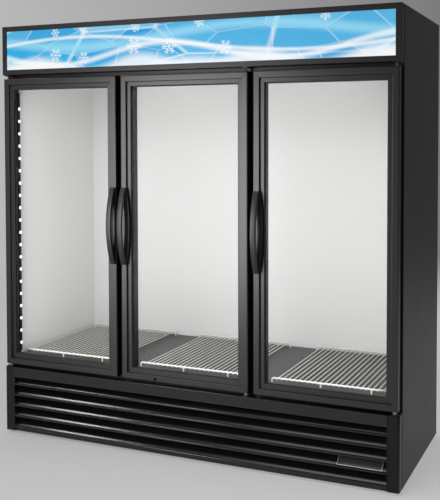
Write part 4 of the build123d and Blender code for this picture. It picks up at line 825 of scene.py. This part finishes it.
def make_racks():
    """Round-wire floor racks with rails bent down at the corners, legs and cross wires."""
    low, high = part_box("floor_racks")
    finish = coated_wire("epoxy_coated_wire", finishes().wire)
    rail, wire, width, leg_pitch, bend = 3.8 * MM, 2.2 * MM, 520 * MM, 225 * MM, 11 * MM
    # cross wires are pressed into the rails where they are welded
    weld = 1.0 * MM
    rail_z = high.z - rail
    wire_z = rail_z - rail - wire + weld
    forms = []
    for door in DOORS:
        door_low, door_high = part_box(f"{door}_frame")
        middle = (door_low.x + door_high.x) / 2
        left, right = middle - width / 2, middle + width / 2
        for y in (low.y + rail, high.y - rail):
            corners = [(left, y, low.z), (left, y, rail_z), (right, y, rail_z), (right, y, low.z)]
            forms.append(swept(rounded_route(corners, bend), rail, 12))
            leg_x = left + leg_pitch
            while leg_x < right - leg_pitch / 4:
                forms.append(swept([Vector((leg_x, y, low.z)), Vector((leg_x, y, rail_z))], rail, 12))
                leg_x += leg_pitch
        count = details().rack_wires
        span = width - 4 * bend
        for index in range(count):
            x = middle - span / 2 + span * index / (count - 1)
            ends = [Vector((x, y, wire_z)) for y in (low.y + rail / 2, high.y - rail / 2)]
            forms.append(swept(ends, wire, 8))
    made = piece("floor_rack_wires", joined(forms), "cabinet", finish, sharp=50.0)
    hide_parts("floor_racks")


def lens_direction(low, high):
    """Way in which a strip shines: into the cabinet from the back of a mullion, or away from its wall."""
    if high.x - low.x > high.y - low.y:
        return Y
    return -X if low.x > 0 else X


def led_form(base, out, half_width, half_height):
    """Oblong lens of one LED, on the base of its strip."""
    across = out.cross(Z)
    loops = []
    for inset, lift in ((0.0, 0.0), (0.0, 1.6), (0.9, 2.7), (2.6, 3.3)):
        radius = max(4.5 - inset, 1.0) * MM
        wide, tall = half_width - inset * MM, half_height - inset * MM
        flat = rounded_box(-wide, wide, -tall, tall, (radius,) * 4)
        loops.append([base + across * u + Z * v + out * lift * MM for u, v in flat])
    return skin(loops)


def make_leds():
    """LEDs along each strip."""
    finish = led_phosphor("led_phosphor")
    for number, (low, high) in enumerate(solid_boxes("led_lenses")):
        out = lens_direction(low, high)
        middle = (low + high) / 2
        depth = abs((high - low).dot(out))
        width = (high - low).dot(abs_vector(out.cross(Z)))
        start = middle - out * depth / 2
        forms = []
        for index in range(details().led_count):
            height = low.z + details().led_start + details().led_pitch * index
            base = Vector((start.x, start.y, height))
            forms.append(led_form(base, out, width / 2, details().led_height / 2))
        piece(f"led_lenses_{number + 1}", joined(forms), "cabinet", finish, sharp=60.0)


def abs_vector(vector):
    """Vector with every share made positive."""
    return Vector([abs(share) for share in vector])


def make_interior_light():
    """Soft lamp behind the doors, for the light that the LED strips throw on the liner."""
    low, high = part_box("interior_floor_pan")
    glass_low, glass_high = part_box("door_2_glass")
    middle_z = (glass_low.z + glass_high.z) / 2
    behind_glass, side_margin = 22 * MM, 30 * MM
    y = glass_high.y + behind_glass
    size = (high.x - low.x - 2 * side_margin, glass_high.z - glass_low.z)
    area_lamp("interior_light", (0, y, middle_z), (0, y + 1.0, middle_z), size, 1.4, seen=False, edge=0.05)


# ---- Fasteners and feet ---------------------------------------------------------------------


def screw_form(point, out, rise):
    """Pan head with a round recess, sitting on a face."""
    head, washer, shank_radius, shank_length = 4.2 * MM, 0.5 * MM, 1.9 * MM, 8 * MM
    profile = [(head, 0.0), (head, washer), (head * 0.86, washer + 0.1 * MM)]
    profile += [(head * 0.84 * math.cos(a), washer + (rise - washer) * math.sin(a)) for a in (0.2, 0.6, 1.0)]
    profile += [(head * 0.36, rise * 0.98), (head * 0.30, rise * 0.5)]
    dome = turned(profile, point, out, 20)
    shank = turned([(shank_radius, -shank_length), (shank_radius, 0.2 * MM)], point, out, 10)
    return joined([dome, shank])


def make_screws():
    """Screws of the header caps and hinge brackets, blackened, and of the rear cover, bright."""
    black, bright, rise = [], [], 2.0 * MM
    for low, high in solid_boxes("casing_screws"):
        size = high - low
        middle = (low + high) / 2
        if size.x > size.y:
            out = X if middle.x > 0 else -X
        else:
            out = Y if middle.y > 0 else -Y
        end = Vector([high[i] if out[i] > 0 else low[i] if out[i] < 0 else middle[i] for i in range(3)])
        (bright if out == Y else black).append(screw_form(end - out * rise, out, rise))
    finish = enamel("blackened_screws", "0d0d0e", 0.35)
    made = piece("black_pan_head_screws", joined(black), "cabinet", finish)
    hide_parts("casing_screws")
    piece("rear_pan_head_screws", joined(bright), "cabinet", zinc_plate("zinc_screws"))


def make_feet():
    """Levelling feet with a turned pad, a hexagon and a threaded stud."""
    # in millimetres: thread radii and pitch, and the foot and top of the hexagon
    root, crest, pitch, nut_foot, nut_top = 4.4, 5.0, 1.5, 6, 12
    forms = []
    for low, high in solid_boxes("levelling_feet"):
        middle = ((low.x + high.x) / 2, (low.y + high.y) / 2, 0.0)
        pad = [(18.5, 0), (20, 1.2), (20, 4), (18.6, 5.6), (12, 6)]
        forms.append(turned([(r * MM, h * MM) for r, h in pad], middle, Z, 32))
        forms.append(turned([(10 * MM, nut_foot * MM), (10 * MM, nut_top * MM)], middle, Z, 6))
        thread = [(root * MM, nut_top * MM)]
        for turn in range(int((high.z - (nut_top + 1) * MM) / (pitch * MM))):
            foot = nut_top + pitch * turn
            thread += [(crest * MM, (foot + pitch / 2) * MM), (root * MM, (foot + pitch) * MM)]
        forms.append(turned(thread, middle, Z, 16))
    made = piece("threaded_feet", joined(forms), "cabinet", zinc_plate("zinc_feet"))
    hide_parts("levelling_feet")


def make_badge():
    """Blank badge: a bright rim round a dark satin field, on the slope of a louvre."""
    low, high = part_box("badge_plate")
    width = high.x - low.x
    slope = math.radians(42)
    # rim, corner and thickness in millimetres
    length, rim, corner, thickness = 46 * MM, 2.5, 3.0, 2.3
    along = Vector((0, math.cos(slope), math.sin(slope)))
    out = Vector((0, -math.sin(slope), math.cos(slope)))
    # the middle of the plate's underside
    base = (low + high) / 2 - out * thickness / 2 * MM

    def loop(inset, lift):
        radius = max(corner - inset, 0.6) * MM
        wide, tall = width / 2 - inset * MM, length / 2 - inset * MM
        flat = rounded_box(-wide, wide, -tall, tall, (radius,) * 4)
        return [base + X * u + along * v + out * lift * MM for u, v in flat]

    levels = ((0.0, 0.0), (0.0, 1.9), (0.4, thickness), (rim - 0.4, thickness), (rim, 1.9), (rim, 0.4))
    ring = skin([loop(inset, lift) for inset, lift in levels])
    made = piece("badge_rim", ring, "cabinet", badge_metal("polished_badge_rim", "d4d6d8", 0.32))
    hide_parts("badge_plate")
    field = skin([loop(rim - 0.1, 0.3), loop(rim - 0.1, 1.5)])
    piece("badge_field", field, "cabinet", badge_metal("dark_badge_field", "4c4f51", 0.42))


# ---- Stage ---------------------------------------------------------------------------------


def area_lamp(name, place, target, size, radiance, seen=True, lights=True, edge=0.6):
    """Soft lamp aimed at a point, fading over the outer share of each half: for gloss, for matt, or both."""
    lamp = bpy.data.lights.new(name, "AREA")
    lamp.shape = "RECTANGLE"
    lamp.size, lamp.size_y = size
    lamp.energy = radiance * math.pi * size[0] * size[1]
    lamp.use_nodes = True
    tree = lamp.node_tree
    across = add(tree, "SeparateXYZ", {"Vector": add(tree, "NewGeometry").outputs["Parametric"]})
    strength = 1.0
    for axis in ("X", "Y"):
        off = apart(tree, across.outputs[axis], 0.5)
        fade = add(tree, "MapRange", {"Value": off, "From Min": 0.5 - edge / 2, "From Max": 0.5,
                                      "To Min": 1.0, "To Max": 0.0}, interpolation_type="SMOOTHSTEP")
        strength = add(tree, "Math", {0: strength, 1: fade}, operation="MULTIPLY")
    feed(tree.nodes["Emission"], {"Strength": strength})
    holder = placed(name, lamp)
    holder.location = place
    holder.rotation_euler = (Vector(target) - Vector(place)).to_track_quat("-Z", "Y").to_euler()
    holder.visible_camera = False
    holder.visible_glossy = seen
    holder.visible_diffuse = lights


def make_camera():
    """Camera in front and to the right of the freezer, at about three quarters of its height."""
    stage = bpy.context.scene.freezer_stage
    lens = bpy.data.cameras.new("camera")
    lens.sensor_width = 36.0
    lens.lens = stage.camera_lens
    lens.shift_x, lens.shift_y = stage.camera_shift
    lens.clip_end = 100.0
    camera = placed("camera", lens)
    camera.location = stage.camera_place
    camera.rotation_euler = (math.radians(90) - stage.camera_pitch, 0.0, stage.camera_yaw)
    bpy.context.scene.camera = camera


def make_world():
    """Even grey studio that lights the freezer and stands behind it, a little dimmer on one side."""
    stage = bpy.context.scene.freezer_stage
    world = bpy.data.worlds.new("studio")
    bpy.context.scene.world = world
    world.use_nodes = True
    tree = world.node_tree
    tree.nodes.clear()
    way = add(tree, "SeparateXYZ", {"Vector": add(tree, "TexCoord").outputs["Generated"]})
    side = add(tree, "MapRange", {"Value": way.outputs["X"], "From Min": -0.64, "From Max": -0.18})
    tone = add(tree, "Mix", {"Factor": side, "A": stage.backdrop, "B": stage.backdrop_dim}, data_type="RGBA")
    add(tree, "OutputWorld", {"Surface": add(tree, "Background", {"Color": tone})})


def make_floor():
    """Pale matte floor that fades into the background with no edge."""
    made, tree, shader, place = blank("studio_floor")
    grain = add(tree, "TexNoise", {"Vector": place, "Scale": per_metre(900), "Detail": 2.0})
    floor_colour = bpy.context.scene.freezer_stage.floor
    tint(shader, grain, scaled(floor_colour, 0.98), list(floor_colour))
    feed(shader, {"Roughness": 0.8, "Specular IOR Level": 0.2})
    near, reach = 2.2, 7.0
    away = add(tree, "VectorMath", {0: place}, operation="LENGTH")
    fade = add(tree, "MapRange", {"Value": away, "From Min": near, "From Max": reach},
               interpolation_type="SMOOTHSTEP")
    # the camera, mirrors and glass see the floor a little paler than it is lit
    path = add(tree, "LightPath").outputs
    shown = path["Is Camera Ray"]
    for ray in ("Is Transmission Ray", "Is Glossy Ray"):
        shown = add(tree, "Math", {0: shown, 1: path[ray]}, operation="MAXIMUM")
    # more so on the side of the last door, which is further from the tall lamp
    across = add(tree, "SeparateXYZ", {"Vector": place})
    share = add(tree, "MapRange", {"Value": across.outputs["X"], "From Min": -1.2, "From Max": 1.2,
                                   "To Min": 0.48, "To Max": 0.7})
    lift = add(tree, "Math", {0: shown, 1: share}, operation="MULTIPLY")
    glow = add(tree, "Emission", {"Color": floor_colour, "Strength": lift})
    paler = add(tree, "AddShader", {0: shader, 1: glow})
    both = add(tree, "MixShader", {"Fac": fade, 1: paler, 2: add(tree, "BsdfTransparent")})
    feed(tree.nodes["Material Output"], {"Surface": both})
    mesh = bpy.data.meshes.new("floor")
    sides = 64
    mesh.from_pydata([(x, y, 0) for x, y in circle(reach, sides)], [], [list(range(sides))])
    mesh.materials.append(made)
    floor = placed("studio_floor", mesh)


# ---- Operators -----------------------------------------------------------------------------


class FREEZER_OT_stage(bpy.types.Operator):
    """Make the camera, the light and the floor."""

    bl_idname = "freezer.stage"
    bl_label = "Stage"

    def execute(self, context):
        make_camera()
        make_world()
        make_floor()
        area_lamp("tall_softbox", (-1.15, -2.7, 1.1), (0.0, 0.0, 1.1), (1.4, 2.15), 9.0, lights=False,
                  edge=0.5)
        area_lamp("strip_softbox", (-3.02, -1.35, 3.8), (-0.6, -0.36, 0.2), (0.3, 0.9), 42.0, lights=False)
        area_lamp("top_softbox", (-0.2, -1.8, 4.2), (0.2, -0.6, 0.8), (3.4, 1.6), 2.8)
        area_lamp("front_fill", (-0.4, -6.0, 3.4), (0.0, 0.0, 0.9), (4.5, 3.0), 3.6, seen=False)
        area_lamp("back_fill", (-1.5, 6.0, 3.4), (0.0, 0.0, 0.9), (4.5, 3.0), 3.0)
        area_lamp("side_softbox", (4.4, -1.2, 1.6), (1.0, 0.0, 1.1), (1.2, 2.6), 0.5)
        context.scene.view_settings.view_transform = "Standard"
        return {"FINISHED"}


class FREEZER_OT_casing(bpy.types.Operator):
    """Finish the painted casing, the frames, the sheet metal and the insulation."""

    bl_idname = "freezer.casing"
    bl_label = "Casing"

    def execute(self, context):
        edge = details().edge
        casing = powder_coat("black_powder_coat_casing", finishes().casing, 0.46, gloss=0.35)
        trim = powder_coat("black_powder_coat_trim", finishes().trim, 0.36)
        inner = powder_coat("black_powder_coat_frame", finishes().trim, 0.3, gloss=0.35)
        coat(casing, "side_panel_left", "side_panel_right", "top_panel", "sign_housing", "header_end_caps",
             edge=edge)
        coat(trim, "sign_bezel", edge=edge)
        coat(powder_coat("satin_black_powder_coat", linear("080809"), 0.4, gloss=0.3), "base_corner_posts",
             edge=edge)
        coat(powder_coat("gloss_black_powder_coat", linear("171718"), 0.18, peel_mm=0.006), "louvre_grille",
             edge=edge)
        coat(inner, "front_face_frame", "base_frame")
        coat(galvanised_sheet("galvanised_sheet"), "rear_panel", "rear_cover", "unit_tray", "control_box",
             "condenser_fan_shroud", "condensate_pan")
        coat(foam("polyurethane_foam"), "foam_insulation")
        return {"FINISHED"}


class FREEZER_OT_doors(bpy.types.Operator):
    """Finish the doors, and make their handles, gaskets and glazing beads."""

    bl_idname = "freezer.doors"
    bl_label = "Doors"

    def execute(self, context):
        extrusion = anodised_extrusion("black_anodised_profile", finishes().extrusion)
        glass = float_glass("float_glass")
        spacer = rubber_seal("warm_edge_spacer", "161718")
        bush = moulded_abs("acetal_bush", linear("c4c5c3"), 2.0)
        for door in DOORS:
            coat(extrusion, f"{door}_frame", edge=0.5 * MM)
            coat(glass, f"{door}_glass")
            coat(spacer, f"{door}_spacer")
            coat(bush, f"{door}_hinge_bushes")
        make_handles()
        make_gaskets()
        make_glazing_beads()
        return {"FINISHED"}


class FREEZER_OT_sign(bpy.types.Operator):
    """Print and light the header sign."""

    bl_idname = "freezer.sign"
    bl_label = "Sign"

    def execute(self, context):
        coat(sign_print("printed_backlit_acrylic"), "sign_panel")
        coat(led_phosphor("sign_light_bar"), "sign_light_bars")
        return {"FINISHED"}


class FREEZER_OT_interior(bpy.types.Operator):
    """Line and light the storage space, and make the racks."""

    bl_idname = "freezer.interior"
    bl_label = "Interior"

    def execute(self, context):
        coat(painted_liner("white_enamel_liner", finishes().liner), "inner_liner", "evaporator_cover")
        # painted shade: the stainless floor pan is given a dark grey, as if it lay in the shade of a load on
        # the racks
        coat(brushed_metal("stainless_floor_painted_shade", "3e4042", 0.3, X, 1.2), "interior_floor_pan")
        coat(powder_coat("black_anodised_channel", linear("101011"), 0.4), "led_channels")
        coat(clear_lens("smoked_lens"), "led_lenses")
        make_racks()
        make_leds()
        make_interior_light()
        return {"FINISHED"}


class FREEZER_OT_fasteners(bpy.types.Operator):
    """Make the screws, feet and badge, and finish the hinges and the lock."""

    bl_idname = "freezer.fasteners"
    bl_label = "Fasteners, feet and badge"

    def execute(self, context):
        coat(hinge_finish("black_bracket_zinc_pin"), "hinge_brackets", edge=0.4 * MM)
        coat(brushed_metal("black_chromed_lock", "0b0b0c", 0.3, Z, 0.8), "lock_barrel", "lock_plug")
        make_screws()
        make_feet()
        make_badge()
        return {"FINISHED"}


class FREEZER_OT_machinery(bpy.types.Operator):
    """Finish the condensing unit, the evaporator and the power inlet."""

    bl_idname = "freezer.machinery"
    bl_label = "Machinery"

    def execute(self, context):
        coat(fin_stock("aluminium_fins_painted_gap_shade"), "condenser_coil", "evaporator_coil")
        coat(enamel("black_enamel_can", "121314", 0.22), "compressor")
        coat(enamel("grey_enamel_motor", "2b2d2f", 0.4), "condenser_fan_motor", "evaporator_fan_motors")
        coat(copper_tube("copper_tube"), "refrigerant_lines")
        coat(moulded_abs("black_nylon", linear("191a1b"), 2.0), "temperature_knob", "power_inlet_gland")
        coat(moulded_abs("fan_polypropylene", linear("222426"), 3.0),
             "condenser_fan", "evaporator_fan_left", "evaporator_fan_right")
        return {"FINISHED"}


class FREEZER_PT_panel(bpy.types.Panel):
    """Panel that lists the freezer's pieces and settings."""

    bl_idname = "FREEZER_PT_panel"
    bl_label = "Ice merchandiser freezer"
    bl_space_type = "VIEW_3D"
    bl_region_type = "UI"
    bl_category = "Freezer"

    def draw(self, context):
        for operator in OPERATORS:
            self.layout.operator(operator.bl_idname)
        for group in ("freezer_finishes", "freezer_details", "freezer_stage"):
            settings = getattr(context.scene, group)
            column = self.layout.column()
            for name in settings.bl_rna.properties.keys():
                if name not in ("rna_type", "name"):
                    column.prop(settings, name)


GROUPS = (FreezerFinishes, FreezerDetails, FreezerStage)
OPERATORS = (
    FREEZER_OT_stage, FREEZER_OT_casing, FREEZER_OT_doors, FREEZER_OT_sign,
    FREEZER_OT_interior, FREEZER_OT_fasteners, FREEZER_OT_machinery,
)
CLASSES = GROUPS + OPERATORS + (FREEZER_PT_panel,)


def register():
    """Registers the classes and hangs the settings on the scene."""
    for cls in CLASSES:
        bpy.utils.register_class(cls)
    bpy.types.Scene.freezer_finishes = bpy.props.PointerProperty(type=FreezerFinishes)
    bpy.types.Scene.freezer_details = bpy.props.PointerProperty(type=FreezerDetails)
    bpy.types.Scene.freezer_stage = bpy.props.PointerProperty(type=FreezerStage)


def unregister():
    """Takes the settings and the classes away again."""
    del bpy.types.Scene.freezer_stage
    del bpy.types.Scene.freezer_details
    del bpy.types.Scene.freezer_finishes
    for cls in reversed(CLASSES):
        bpy.utils.unregister_class(cls)


def main():
    register()
    for operator in OPERATORS:
        group, name = operator.bl_idname.split(".")
        getattr(getattr(bpy.ops, group), name)()


if __name__ == "__main__":
    main()
